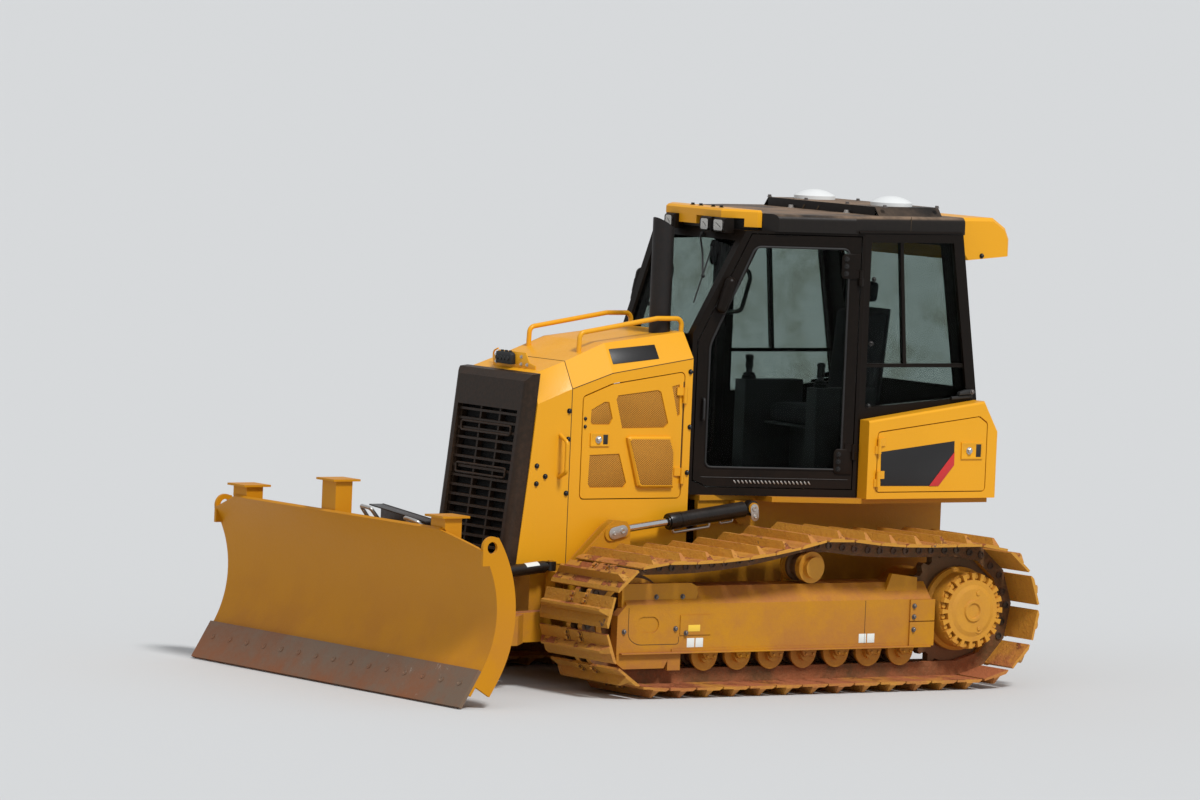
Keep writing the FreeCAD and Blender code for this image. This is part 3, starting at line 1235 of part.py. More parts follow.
def control_consoles():
    """Armrest consoles with their levers, and the front dash."""
    consoles = []
    for side in (-1, 1):
        body = box(-900, -480, min(side * 300, side * 400), max(side * 300, side * 400), DECK_Z + CAB_WALL, 1680)
        lever = Part.makeCylinder(18, 130, V(-540, side * 350, 1679))
        consoles.append(body.fuse(lever))
    dash = box(180, 320, -230, 230, DECK_Z + CAB_WALL, 1820)
    return consoles + [dash]


# Rear body and its door

def rear_body():
    """Tank and side bodies round the back of the cab."""
    outline = (
        (BODY_FRONT_X, DECK_Z), (BODY_FRONT_X, BODY_TOP_FRONT_Z),
        (BODY_REAR_X + 105, BODY_TOP_REAR_Z), (BODY_REAR_X, BODY_CHAMFER_Z), (BODY_REAR_X, DECK_Z),
    )
    block = plate_xz(outline, -BODY_HALF_WIDTH, BODY_HALF_WIDTH)
    outer_edges = [e for e in block.Edges if abs(abs(e.CenterOfMass.y) - BODY_HALF_WIDTH) < 0.1
                   and e.CenterOfMass.z > DECK_Z + 1 and e.CenterOfMass.x < BODY_FRONT_X - 1]
    block = block.makeFillet(BODY_ROUND, outer_edges)
    cab_room = plate_xy(
        ((BODY_FRONT_X + 5, CAB_CORNER_Y + 6), (CAB_REAR_X - 6, CAB_CORNER_Y - 14),
         (CAB_REAR_X - 6, -CAB_CORNER_Y + 14), (BODY_FRONT_X + 5, -CAB_CORNER_Y - 6)),
        DECK_Z - 1, 2000)
    recess = rounded_corners(
        plate_xz(tank_door_points(PANEL_GAP), BODY_HALF_WIDTH - TANK_DOOR_THICKNESS - 2,
                 BODY_HALF_WIDTH + 1), 20 + PANEL_GAP)
    return fused([block.cut([cab_room, recess])] + tank_door_hinges()[0])


def tank_door_points(grow):
    """Outline of the tank door, which rises to the rear; larger by a gap for its recess."""
    front, rear = TANK_DOOR_FRONT_X + grow, TANK_DOOR_REAR_X - grow
    return (
        (front, TANK_DOOR_BOTTOM_Z - grow), (front, TANK_DOOR_TOP_Z + grow),
        (rear + 60, TANK_DOOR_REAR_TOP_Z + grow), (rear, TANK_DOOR_REAR_TOP_Z - 38 + grow),
        (rear, TANK_DOOR_BOTTOM_Z - grow),
    )


def tank_door_hinges():
    edge = V(TANK_DOOR_FRONT_X, BODY_HALF_WIDTH, 0)
    fixed, moving = hinge_halves(edge, V(1, 0, 0), (TANK_DOOR_BOTTOM_Z + 30, TANK_DOOR_TOP_Z - 120))
    turned = []
    for halves in (fixed, moving):
        turned.append([half.mirror(edge, V(1, 0, 0)) for half in halves])
    return turned


def tank_door():
    panel = rounded_corners(
        plate_xz(tank_door_points(0), BODY_HALF_WIDTH - TANK_DOOR_THICKNESS, BODY_HALF_WIDTH), 20)
    return fused([panel] + tank_door_hinges()[1])


# Push frame and blade

def push_frame():
    """C-shaped frame: two arms inside the tracks, joined by the beam in front."""
    top = ARM_BOTTOM_Z + ARM_HEIGHT
    arm = plate_xz(
        ((LIFT_PIVOT_X - 40, LIFT_PIVOT_Z - 90), (LIFT_PIVOT_X - 40, LIFT_PIVOT_Z + 90),
         (LIFT_PIVOT_X + 180, LIFT_PIVOT_Z + 90), (600, top + 40), (CROSS_BEAM_REAR_X, top),
         (CROSS_BEAM_REAR_X, ARM_BOTTOM_Z), (600, ARM_BOTTOM_Z + 30), (LIFT_PIVOT_X + 120, LIFT_PIVOT_Z - 90)),
        ARM_INNER_Y, ARM_OUTER_Y)
    eye = across(LIFT_PIVOT_X, LIFT_PIVOT_Z, ARM_INNER_Y, ARM_OUTER_Y, CROSS_TUBE_RADIUS + 45)
    corner = plate_xy(
        ((WIDE_FROM_X, ARM_OUTER_Y - 1), (CROSS_BEAM_REAR_X - 60, CROSS_BEAM_HALF_WIDTH),
         (CROSS_BEAM_FRONT_X, CROSS_BEAM_HALF_WIDTH), (CROSS_BEAM_FRONT_X, ARM_INNER_Y),
         (WIDE_FROM_X, ARM_INNER_Y)),
        ARM_BOTTOM_Z, top)
    beam = box(CROSS_BEAM_REAR_X, CROSS_BEAM_FRONT_X, -CROSS_BEAM_HALF_WIDTH, CROSS_BEAM_HALF_WIDTH,
               ARM_BOTTOM_Z, top)
    lugs = []
    for z0 in lug_levels():
        tongue = box(CROSS_BEAM_FRONT_X - 40, ANGLE_PIN_X, -95, 95, z0, z0 + LUG_THICKNESS)
        nose = Part.makeCylinder(70, LUG_THICKNESS, V(ANGLE_PIN_X, 0, z0))
        root = box(CROSS_BEAM_REAR_X, CROSS_BEAM_FRONT_X, -120, 120,
                   min(z0, ARM_BOTTOM_Z), max(z0 + LUG_THICKNESS, top))
        lugs += [tongue, nose, root]
    pin_low = lug_levels()[0] - 15
    pin_high = lug_levels()[1] + LUG_THICKNESS + 15
    pin = rod(V(ANGLE_PIN_X, 0, pin_low), V(ANGLE_PIN_X, 0, pin_high), ANGLE_PIN_RADIUS)
    ears = lift_ears() + [angle_yoke()]
    arms = []
    for piece in [arm, eye, corner] + ears:
        arms += both_sides(piece)
    frame = fused(arms + [beam] + lugs + [pin])
    bores = both_sides(across(LIFT_PIVOT_X, LIFT_PIVOT_Z, ARM_INNER_Y - 1, ARM_OUTER_Y + 1,
                              CROSS_TUBE_RADIUS + PIN_CLEARANCE))
    return frame.cut(bores)


def lug_levels():
    """Undersides of the lower and upper lugs that hold the blade's upright pin."""
    gap = YOKE_HEIGHT / 2 + RUNNING_GAP
    return TILT_AXIS_Z - gap - LUG_THICKNESS, TILT_AXIS_Z + gap


def lift_ears():
    """Uprights on an arm with the rod eye's place between two ears."""
    x, z = LIFT_ROD_PIN
    inner = LIFT_Y - LIFT_EYE_WIDTH / 2 - RUNNING_GAP
    outer = LIFT_Y + LIFT_EYE_WIDTH / 2 + RUNNING_GAP
    thickness = 14
    outline = ((x - 70, 700), (x - 60, z + 20), (x - 35, z + 52), (x + 45, z + 58), (x + 90, z + 30),
               (1340, 640), (1340, 400), (x - 70, 400))
    plates = [plate_xz(outline, outer, outer + thickness), plate_xz(outline, inner - thickness, inner)]
    keeper = stadium_xz(-54, 120, -40, 40, outer + thickness, outer + thickness + 9)
    keeper.rotate(V(0, 0, 0), V(0, 1, 0), 12)
    keeper.translate(V(x, 0, z))
    return plates + [keeper]


def angle_yoke():
    """Bracket on the arm for the rear pin of an angle cylinder."""
    x, y, z = ANGLE_BARREL_PIN
    post = box(x - 30, x + 16, ARM_INNER_Y + 4, ARM_OUTER_Y, 400, z - 28)
    pin = rod(V(x, y, z - 29), V(x, y, z + 32), ANGLE_PIN_STUB)
    return post.fuse(pin)


def blade_pivot():
    """Yoke on the upright pin, with the level trunnion that the blade tilts on."""
    low = TILT_AXIS_Z - YOKE_HEIGHT / 2
    high = TILT_AXIS_Z + YOKE_HEIGHT / 2
    barrel = rod(V(ANGLE_PIN_X, 0, low), V(ANGLE_PIN_X, 0, high), 68)
    mast_x1 = TILT_PLANE_X - TILT_BARREL_RADIUS - 8
    block = box(ANGLE_PIN_X, mast_x1, -90, 90, low, high)
    trunnion = rod(V(mast_x1 - 1, 0, TILT_AXIS_Z), V(mast_x1 + 170, 0, TILT_AXIS_Z), TRUNNION_RADIUS)
    mast_x0 = mast_x1 - 32
    mast = plate_yz(((-90, low), (90, low), (90, high), (-TILT_PIN_Y + 90, TILT_PIN_Z - 30),
                     (-TILT_PIN_Y + 45, TILT_PIN_Z + 40), (-TILT_PIN_Y - 45, TILT_PIN_Z + 40),
                     (-TILT_PIN_Y - 50, TILT_PIN_Z - 40), (-90, high)), mast_x0, mast_x1)
    pin = rod(V(mast_x1 - 1, -TILT_PIN_Y, TILT_PIN_Z), V(TILT_PLANE_X + 26, -TILT_PIN_Y, TILT_PIN_Z), 16)
    bore = rod(V(ANGLE_PIN_X, 0, low - 1), V(ANGLE_PIN_X, 0, high + 1), ANGLE_PIN_RADIUS + PIN_CLEARANCE)
    eye_x, eye_y, eye_z = ANGLE_ROD_PIN
    under, over = eye_z - 50, eye_z + 50
    wing = plate_yz(
        ((-90, high), (90, high), (300, under), (eye_y - 100, under), (eye_y - 100, over + 22),
         (100 - eye_y, over + 22), (100 - eye_y, under), (-300, under)), mast_x0, mast_x1)
    left = ((mast_x0, eye_y - 60), (eye_x - 45, eye_y), (eye_x - 45, eye_y + 60), (eye_x + 40, eye_y + 60),
            (eye_x + 40, eye_y - 60), (mast_x1, eye_y - 120))
    outline = left + tuple((x, -y) for x, y in reversed(left))
    ears = [plate_xy(outline, z0, z0 + 22) for z0 in (under - 22, over)]
    return fused([barrel, block, trunnion, mast, pin, wing] + ears).cut(bore)


def blade_slice(depth0, depth1, half_width, low_z, high_z):
    """Curved part between two depths behind the front surface, cut square to the curve."""
    low, high = blade_angle(low_z), blade_angle(high_z)
    middle = (low + high) / 2

    def at(angle, depth):
        x, z = blade_point(angle, depth)
        return V(x, -half_width, z)
    front = Part.Arc(at(low, depth0), at(middle, depth0), at(high, depth0)).toShape()
    over = Part.LineSegment(at(high, depth0), at(high, depth1)).toShape()
    back = Part.Arc(at(high, depth1), at(middle, depth1), at(low, depth1)).toShape()
    under = Part.LineSegment(at(low, depth1), at(low, depth0)).toShape()
    return Part.Face(Part.Wire([front, over, back, under])).extrude(V(0, 2 * half_width, 0))


def flat_slice(depth0, depth1, half_width, run0, run1):
    """Straight part below the curve, between two depths and two runs."""
    corners = (flat_point(run0, depth0), flat_point(run1, depth0),
               flat_point(run1, depth1), flat_point(run0, depth1))
    return plate_xz(corners, -half_width, half_width)


def blade_corner_cut():
    """Prism that takes one upper corner off the blade."""
    return plate_yz(
        ((BLADE_TOP_HALF_WIDTH, BLADE_TOP_Z), (BLADE_HALF_WIDTH, BLADE_CORNER_Z),
         (BLADE_HALF_WIDTH + 200, BLADE_CORNER_Z), (BLADE_HALF_WIDTH + 200, BLADE_TOP_Z + 300),
         (BLADE_TOP_HALF_WIDTH, BLADE_TOP_Z + 300)),
        BLADE_BELLY_X - 500, BLADE_BELLY_X + 700)


def moldboard():
    """Curved plate with its end plates and lifting ears."""
    plate = blade_slice(0, BLADE_THICKNESS, BLADE_HALF_WIDTH, EDGE_TOP_Z, BLADE_TOP_Z)
    plate = plate.cut(both_sides(blade_corner_cut()))
    flat = flat_slice(0, BLADE_THICKNESS, BLADE_HALF_WIDTH, 0, BLADE_FLAT_LENGTH)
    inner_y = BLADE_HALF_WIDTH - END_PLATE_THICKNESS
    end = blade_slice(0, END_PLATE_DEPTH, BLADE_HALF_WIDTH, EDGE_TOP_Z, BLADE_CORNER_Z)
    foot = flat_slice(0, END_PLATE_DEPTH, BLADE_HALF_WIDTH, 0, BLADE_FLAT_LENGTH - 60)
    end = end.fuse(foot).common(box(2000, 2900, inner_y, BLADE_HALF_WIDTH, 0, 2000))
    ear_x, ear_z = ear_centre()
    ear = across(ear_x, ear_z, inner_y, BLADE_HALF_WIDTH, EAR_RADIUS)
    ear_cheek = box(ear_x, ear_x + 60, inner_y, BLADE_HALF_WIDTH, ear_z - 100, ear_z)
    hole = across(ear_x, ear_z, inner_y - 1, BLADE_HALF_WIDTH + 1, EAR_HOLE_RADIUS)
    ends = []
    for piece in (end, ear, ear_cheek):
        ends += both_sides(piece)
    return fused([plate, flat] + ends).cut(both_sides(hole))


def ear_centre():
    """Centre of a lifting ear's hole, in side view."""
    x, z = blade_point(blade_angle(BLADE_CORNER_Z), END_PLATE_DEPTH)
    return x + 40, z - 55


def blade_frame():
    """Box ribs, hub and the tilt rod's bracket welded behind the moldboard."""
    inner_half = BLADE_HALF_WIDTH - END_PLATE_THICKNESS
    low_rib = blade_slice(BLADE_THICKNESS, BLADE_RIB_DEPTH, inner_half, EDGE_TOP_Z, 340)
    high_rib = blade_slice(BLADE_THICKNESS, BLADE_RIB_DEPTH - 40, inner_half, 720, 800)
    hub_x = TILT_PLANE_X - 6
    hub = rod(V(hub_x, 0, TILT_AXIS_Z), V(BLADE_BELLY_X + 20, 0, TILT_AXIS_Z), 120)
    hub_bore = rod(V(hub_x - 1, 0, TILT_AXIS_Z), V(hub_x + 134, 0, TILT_AXIS_Z), TRUNNION_RADIUS + PIN_CLEARANCE)
    reach = BLADE_BELLY_X + 108
    webs = both_sides(box(TILT_PLANE_X + 72, reach + 20, 130, 160, TILT_AXIS_Z, TILT_PIN_Z + 100))
    tilt_x = TILT_PLANE_X + TILT_EYE_WIDTH / 2 + RUNNING_GAP
    tilt = box(tilt_x, reach, TILT_PIN_Y - 50, TILT_PIN_Y + 51, TILT_PIN_Z - 50, TILT_PIN_Z + 50)
    bridge = box(tilt_x + 88, reach, 159, TILT_PIN_Y - 49, TILT_PIN_Z - 50, TILT_PIN_Z + 50)
    body = fused([low_rib, high_rib, hub, tilt, bridge] + webs)
    front = across(BLADE_BELLY_X + BLADE_CURVE_RADIUS, BLADE_BELLY_Z, -BLADE_HALF_WIDTH,
                   BLADE_HALF_WIDTH, BLADE_CURVE_RADIUS + BLADE_THICKNESS)
    return body.cut(front).cut(hub_bore)


def blade_stops():
    """Three stop boxes on the blade's upper back, the middle one taller."""
    boxes = []
    front = across(BLADE_BELLY_X + BLADE_CURVE_RADIUS, BLADE_BELLY_Z, -BLADE_HALF_WIDTH,
                   BLADE_HALF_WIDTH, BLADE_CURVE_RADIUS + BLADE_THICKNESS)
    x1 = blade_point(blade_angle(STOP_FOOT_Z + 140), BLADE_THICKNESS)[0]
    # Columns: y, height of the overhanging plate
    for y, top in ((-STOP_Y, STOP_TOP_Z), (-90, STOP_TOP_Z + 110), (STOP_Y, STOP_TOP_Z)):
        body = box(x1 - 110, x1, y - 70, y + 70, STOP_FOOT_Z, top - 12)
        lid = box(x1 - 150, x1 + 30, y - 90, y + 90, top - 12, top)
        boxes.append(body.cut(front).fuse(lid))
    return boxes


def cutting_edge():
    """Straight worn edge bolted on the front of the flat lower plate."""
    return [flat_slice(-EDGE_THICKNESS, 0, BLADE_HALF_WIDTH, 0, EDGE_RUN)]


# Cylinders

def cylinder_barrel(pin, end, radius, length, eye_axis, eye_radius, eye_width, bore_radius, rod_radius):
    """Barrel from its rear eye towards the rod's eye, with an open gland."""
    along = (end - pin).normalize()
    tube_start = pin + along * (eye_radius + 12)
    tube_end = pin + along * length
    neck = rod(pin, tube_start + along, eye_width / 2 - 1)
    tube = rod(tube_start, tube_end, radius)
    band = rod(tube_end - along * 70, tube_end - along * 46, radius + 3)
    eye = rod(pin - eye_axis * (eye_width / 2), pin + eye_axis * (eye_width / 2), eye_radius)
    rod_room = rod(pin + along * (eye_radius + 25), tube_end + along, rod_radius + SEAT_GAP)
    eye_bore = rod(pin - eye_axis * eye_width, pin + eye_axis * eye_width, bore_radius + PIN_CLEARANCE)
    return fused([tube, neck, band, eye]).cut([rod_room, eye_bore])


def cylinder_rod(pin, end, rod_start, rod_radius, eye_axis, eye_radius, eye_width):
    """Chromed rod with the solid eye at its end."""
    along = (end - pin).normalize()
    shaft = rod(pin + along * rod_start, end - along * eye_radius * 0.7, rod_radius)
    eye = rod(end - eye_axis * (eye_width / 2), end + eye_axis * (eye_width / 2), eye_radius)
    return shaft.fuse(eye).removeSplitter()


def lift_cylinder():
    pin = V(LIFT_BARREL_PIN[0], LIFT_Y, LIFT_BARREL_PIN[1])
    end = V(LIFT_ROD_PIN[0], LIFT_Y, LIFT_ROD_PIN[1])
    axis = V(0, 1, 0)
    barrel = cylinder_barrel(pin, end, LIFT_BARREL_RADIUS, LIFT_BARREL_LENGTH, axis, LIFT_EYE_RADIUS,
                             LIFT_EYE_WIDTH, LIFT_PIN_RADIUS, LIFT_ROD_RADIUS)
    plunger = cylinder_rod(pin, end, LIFT_ROD_START, LIFT_ROD_RADIUS, axis, 40, LIFT_EYE_WIDTH)
    return barrel, plunger


def angle_cylinder():
    pin = V(*ANGLE_BARREL_PIN)
    end = V(*ANGLE_ROD_PIN)
    axis = V(0, 0, 1)
    barrel = cylinder_barrel(pin, end, ANGLE_BARREL_RADIUS, ANGLE_BARREL_LENGTH, axis, 34, 50,
                             ANGLE_PIN_STUB, ANGLE_ROD_RADIUS)
    plunger = cylinder_rod(pin, end, ANGLE_ROD_START, ANGLE_ROD_RADIUS, axis, 34, 48)
    return barrel, plunger


def tilt_cylinder():
    pin = V(TILT_PLANE_X, -TILT_PIN_Y, TILT_PIN_Z)
    end = V(TILT_PLANE_X, TILT_PIN_Y, TILT_PIN_Z)
    axis = V(1, 0, 0)
    barrel = cylinder_barrel(pin, end, TILT_BARREL_RADIUS, TILT_BARREL_LENGTH, axis, 36,
                             TILT_EYE_WIDTH, 16, TILT_ROD_RADIUS)
    plunger = cylinder_rod(pin, end, TILT_ROD_START, TILT_ROD_RADIUS, axis, 32, TILT_EYE_WIDTH)
    return barrel, plunger


os.makedirs("parts", exist_ok=True)

save("main_frame", main_frame())
save("fender_decks", *fender_decks())
save("lift_brackets", *both_sides(lift_bracket()))
save("drawbar", drawbar())
save("engine_block", engine_block())
pins, link_pitch = chain_pins()
carrier_height = carrier_z(pins, link_pitch)
save_pair("track_frame", track_frame(carrier_height))
save_pair("track", track(pins, link_pitch))
save_pair("sprocket", sprocket())
save_pair("idler", idler(link_pitch))
rollers = track_rollers()
save("track_rollers", *(rollers + [mirrored(r) for r in rollers]))
save("carrier_rollers", *both_sides(carrier_roller(carrier_height)))
save("hood", hood())
save("front_cowl", front_cowl())
save("nose_shell", nose_shell())
save("grille", grille())
save_pair("engine_door", engine_door())
save("hood_handrails", *(both_sides(hood_handrail()) + both_sides(cowl_handle())))
save("exhaust_stack", exhaust_stack())
save("cab_frame", cab_frame())
save("cab_glass", *cab_glass())
save_pair("cab_door", cab_door()[0])
save_pair("cab_door_glass", cab_door_glass())
save("cab_roof", cab_roof())
save("roof_tray", roof_tray())
save("antenna_domes", *antenna_domes())
save("roof_visor", roof_visor())
save("work_lights", *work_lights())
save("rear_roof_cover", rear_roof_cover())
save("seat", seat())
save("control_consoles", *control_consoles())
save("rear_body", rear_body())
save("tank_door", tank_door())
save("push_frame", push_frame())
save("blade_pivot", blade_pivot())
save("moldboard", moldboard())
save("blade_frame", blade_frame())
save("blade_stops", *blade_stops())
save("cutting_edge", *cutting_edge())
lift_barrel, lift_rod = lift_cylinder()
save_pair("lift_barrel", lift_barrel)
save_pair("lift_rod", lift_rod)
angle_barrel, angle_rod = angle_cylinder()
save_pair("angle_barrel", angle_barrel)
save_pair("angle_rod", angle_rod)
tilt_barrel, tilt_rod = tilt_cylinder()
save("tilt_barrel", tilt_barrel)
save("tilt_rod", tilt_rod)
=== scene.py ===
# %% [markdown]
# # A compact crawler bulldozer
# The machine's solids come from its CAD model, each already in its place. This lesson gives
# them worn paint, dusty steel and tinted glass, and adds the small things that a welder or a
# fitter would add last: perforated panels, bolts, handles, lamps, seams and seals.
# Everything is in metres. X points forward, Y to the machine's left, Z up.

# %% Load the frame
import math

import bmesh
import bpy
from mathutils import Matrix, Vector


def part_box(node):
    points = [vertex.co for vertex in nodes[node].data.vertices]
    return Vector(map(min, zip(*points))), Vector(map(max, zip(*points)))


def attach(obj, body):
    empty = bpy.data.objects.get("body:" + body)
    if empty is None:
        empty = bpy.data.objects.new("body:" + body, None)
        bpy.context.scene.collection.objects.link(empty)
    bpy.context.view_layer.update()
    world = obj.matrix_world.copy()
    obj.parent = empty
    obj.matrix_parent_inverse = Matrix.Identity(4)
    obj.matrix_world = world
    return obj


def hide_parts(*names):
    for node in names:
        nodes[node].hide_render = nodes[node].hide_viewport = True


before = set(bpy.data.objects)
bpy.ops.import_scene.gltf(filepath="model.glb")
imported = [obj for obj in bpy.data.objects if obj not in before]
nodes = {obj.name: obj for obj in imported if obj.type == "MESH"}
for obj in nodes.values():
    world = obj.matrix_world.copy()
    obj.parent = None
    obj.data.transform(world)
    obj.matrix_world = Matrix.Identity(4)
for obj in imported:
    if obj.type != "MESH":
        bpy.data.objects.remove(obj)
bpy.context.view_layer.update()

# %% [markdown]
# ## Camera and studio
# The photograph was taken from far away with a long lens, a little above the tracks and with
# the camera tipped by about two degrees. A telephoto view keeps parallel edges parallel, so
# the camera stands 45 m away and its lens is long. Soft light comes from a pale sky and from
# a wide sun high on the machine's left.

# %% The camera
AZIMUTH, ELEVATION, ROLL = math.radians(35.344), math.radians(3.673), math.radians(2.393)
forward = Vector((-math.sin(AZIMUTH) * math.cos(ELEVATION),
                  -math.cos(AZIMUTH) * math.cos(ELEVATION), -math.sin(ELEVATION)))
level_right = Vector((-math.cos(AZIMUTH), math.sin(AZIMUTH), 0.0))
level_up = level_right.cross(forward)
right = math.cos(ROLL) * level_right + math.sin(ROLL) * level_up
up = -math.sin(ROLL) * level_right + math.cos(ROLL) * level_up
camera_data = bpy.data.cameras.new("photo_camera")
camera_data.sensor_width = 36.0
camera_data.lens = 7888.0 / 1200.0 * 36.0
camera_data.clip_end = 3000.0
camera = bpy.data.objects.new("photo_camera", camera_data)
bpy.context.scene.collection.objects.link(camera)
camera.matrix_world = Matrix((
    (right.x, up.x, -forward.x, 26.414),
    (right.y, up.y, -forward.y, 36.756),
    (right.z, up.z, -forward.z, 4.479),
    (0, 0, 0, 1)))
bpy.context.scene.camera = camera
print("lens", round(camera_data.lens, 1), "mm")

# %% Floor, sky and sun
bpy.ops.mesh.primitive_plane_add(size=1600.0, location=(0, 0, 0))
floor = bpy.context.object
floor.name = "studio_floor"
floor_paint = bpy.data.materials.new("floor_paint")
floor_paint.use_nodes = True
floor_shader = floor_paint.node_tree.nodes["Principled BSDF"]
floor_shader.inputs["Base Color"].default_value = (0.56, 0.565, 0.565, 1)
floor_shader.inputs["Roughness"].default_value = 0.9
floor.data.materials.append(floor_paint)

scene = bpy.context.scene
scene.view_settings.view_transform = "Standard"
sky = bpy.data.worlds.new("studio_sky")
scene.world = sky
sky.use_nodes = True
sky_nodes, sky_links = sky.node_tree.nodes, sky.node_tree.links
sky_light = sky_nodes["Background"]
sky_light.inputs["Color"].default_value = (0.93, 0.96, 1.0, 1)
sky_light.inputs["Strength"].default_value = 0.56
sky_seen = sky_nodes.new("ShaderNodeBackground")
sky_seen.inputs["Color"].default_value = (0.86, 0.87, 0.88, 1)
sky_path = sky_nodes.new("ShaderNodeLightPath")
sky_any = sky_nodes.new("ShaderNodeMath")
sky_any.operation = "MAXIMUM"
sky_mix = sky_nodes.new("ShaderNodeMixShader")
sky_links.new(sky_path.outputs["Is Camera Ray"], sky_any.inputs[0])
sky_links.new(sky_path.outputs["Is Transmission Ray"], sky_any.inputs[1])
sky_links.new(sky_any.outputs[0], sky_mix.inputs[0])
sky_links.new(sky_light.outputs[0], sky_mix.inputs[1])
sky_links.new(sky_seen.outputs[0], sky_mix.inputs[2])
sky_links.new(sky_mix.outputs[0], sky_nodes["World Output"].inputs["Surface"])


def add_sun(name, towards, strength, spread):
    """A distant lamp whose light travels along the given direction."""
    lamp = bpy.data.lights.new(name, "SUN")
    lamp.energy = strength
    lamp.angle = math.radians(spread)
    holder = bpy.data.objects.new(name, lamp)
    scene.collection.objects.link(holder)
    holder.rotation_euler = Vector(towards).to_track_quat("-Z", "Y").to_euler()


add_sun("key_sun", (-0.02, -0.60, -0.80), 2.65, 12)
add_sun("front_fill", (-0.95, -0.1, -0.3), 0.14, 40)

# %% [markdown]
# ## Finishes
# Red soil clings to everything low or level on a bulldozer, paint chips where metal rubs, and
# all of it shows as a change of colour and of roughness. The soil and the chips are needed by
# nearly every finish, so each is a node group with its own values in every material.

# %% Helpers for node groups
def new_group(name, inputs, outputs):
    """Empty shader node group with the named sockets; returns group, input and output node."""
    group = bpy.data.node_groups.new(name, "ShaderNodeTree")
    for socket, kind, value in inputs:
        made = group.interface.new_socket(socket, in_out="INPUT", socket_type=kind)
        made.default_value = value
    for socket, kind in outputs:
        group.interface.new_socket(socket, in_out="OUTPUT", socket_type=kind)
    return group, group.nodes.new("NodeGroupInput"), group.nodes.new("NodeGroupOutput")


def math_node(tree, operation, first, second=None, clamp=False):
    node = tree.nodes.new("ShaderNodeMath")
    node.operation = operation
    node.use_clamp = clamp
    for slot, value in enumerate((first, second)):
        if value is None:
            continue
        if hasattr(value, "links"):
            tree.links.new(value, node.inputs[slot])
        else:
            node.inputs[slot].default_value = value
    return node.outputs[0]


def mix_colour(tree, factor, first, second):
    node = tree.nodes.new("ShaderNodeMix")
    node.data_type = "RGBA"
    for slot, value in ((0, factor), (6, first), (7, second)):
        if hasattr(value, "links"):
            tree.links.new(value, node.inputs[slot])
        else:
            node.inputs[slot].default_value = value
    return node.outputs[2]


def noise(tree, vector, scale, detail=4.0, roughness=0.55):
    node = tree.nodes.new("ShaderNodeTexNoise")
    node.inputs["Detail"].default_value = detail
    node.inputs["Roughness"].default_value = roughness
    tree.links.new(vector, node.inputs["Vector"])
    if hasattr(scale, "links"):
        tree.links.new(scale, node.inputs["Scale"])
    else:
        node.inputs["Scale"].default_value = scale
    return node.outputs["Fac"]


def soft_step(tree, value, low, high):
    node = tree.nodes.new("ShaderNodeMapRange")
    node.interpolation_type = "SMOOTHSTEP"
    for slot, item in ((0, value), (1, low), (2, high)):
        if hasattr(item, "links"):
            tree.links.new(item, node.inputs[slot])
        else:
            node.inputs[slot].default_value = item
    return node.outputs[0]


# %% Group: red soil
soil, soil_in, soil_out = new_group(
    "red_soil",
    (("Paint", "NodeSocketColor", (0.8, 0.4, 0.03, 1)), ("Soil", "NodeSocketColor", (0.30, 0.12, 0.05, 1)),
     ("Amount", "NodeSocketFloat", 0.4), ("Top of splash", "NodeSocketFloat", 1.1),
     ("Level faces", "NodeSocketFloat", 0.4), ("Film", "NodeSocketFloat", 0.1)),
    (("Color", "NodeSocketColor"), ("Mask", "NodeSocketFloat")))
place = soil.nodes.new("ShaderNodeTexCoord").outputs["Object"]
split_place = soil.nodes.new("ShaderNodeSeparateXYZ")
soil.links.new(place, split_place.inputs[0])
facing = soil.nodes.new("ShaderNodeNewGeometry")
split_facing = soil.nodes.new("ShaderNodeSeparateXYZ")
soil.links.new(facing.outputs["Normal"], split_facing.inputs[0])
clouds = noise(soil, place, 2.6, 6.0, 0.62)
specks = noise(soil, place, 34.0, 3.0, 0.7)
height = math_node(soil, "DIVIDE", split_place.outputs["Z"], soil_in.outputs["Top of splash"])
low_part = math_node(soil, "SUBTRACT", 1.0, height, clamp=True)
splash = math_node(soil, "MULTIPLY", low_part, soft_step(soil, clouds, 0.36, 0.64))
on_top = math_node(soil, "MULTIPLY", soft_step(soil, split_facing.outputs["Z"], 0.40, 0.85),
                   soil_in.outputs["Level faces"])
on_top = math_node(soil, "MULTIPLY", on_top, soft_step(soil, clouds, 0.30, 0.62))
film = math_node(soil, "MULTIPLY", soft_step(soil, specks, 0.35, 0.75), soil_in.outputs["Film"])
both = math_node(soil, "ADD", math_node(soil, "ADD", splash, on_top), film)
mask = math_node(soil, "MULTIPLY", both, soil_in.outputs["Amount"], clamp=True)
soil.links.new(mask, soil_out.inputs["Mask"])
soil.links.new(mix_colour(soil, mask, soil_in.outputs["Paint"], soil_in.outputs["Soil"]), soil_out.inputs["Color"])

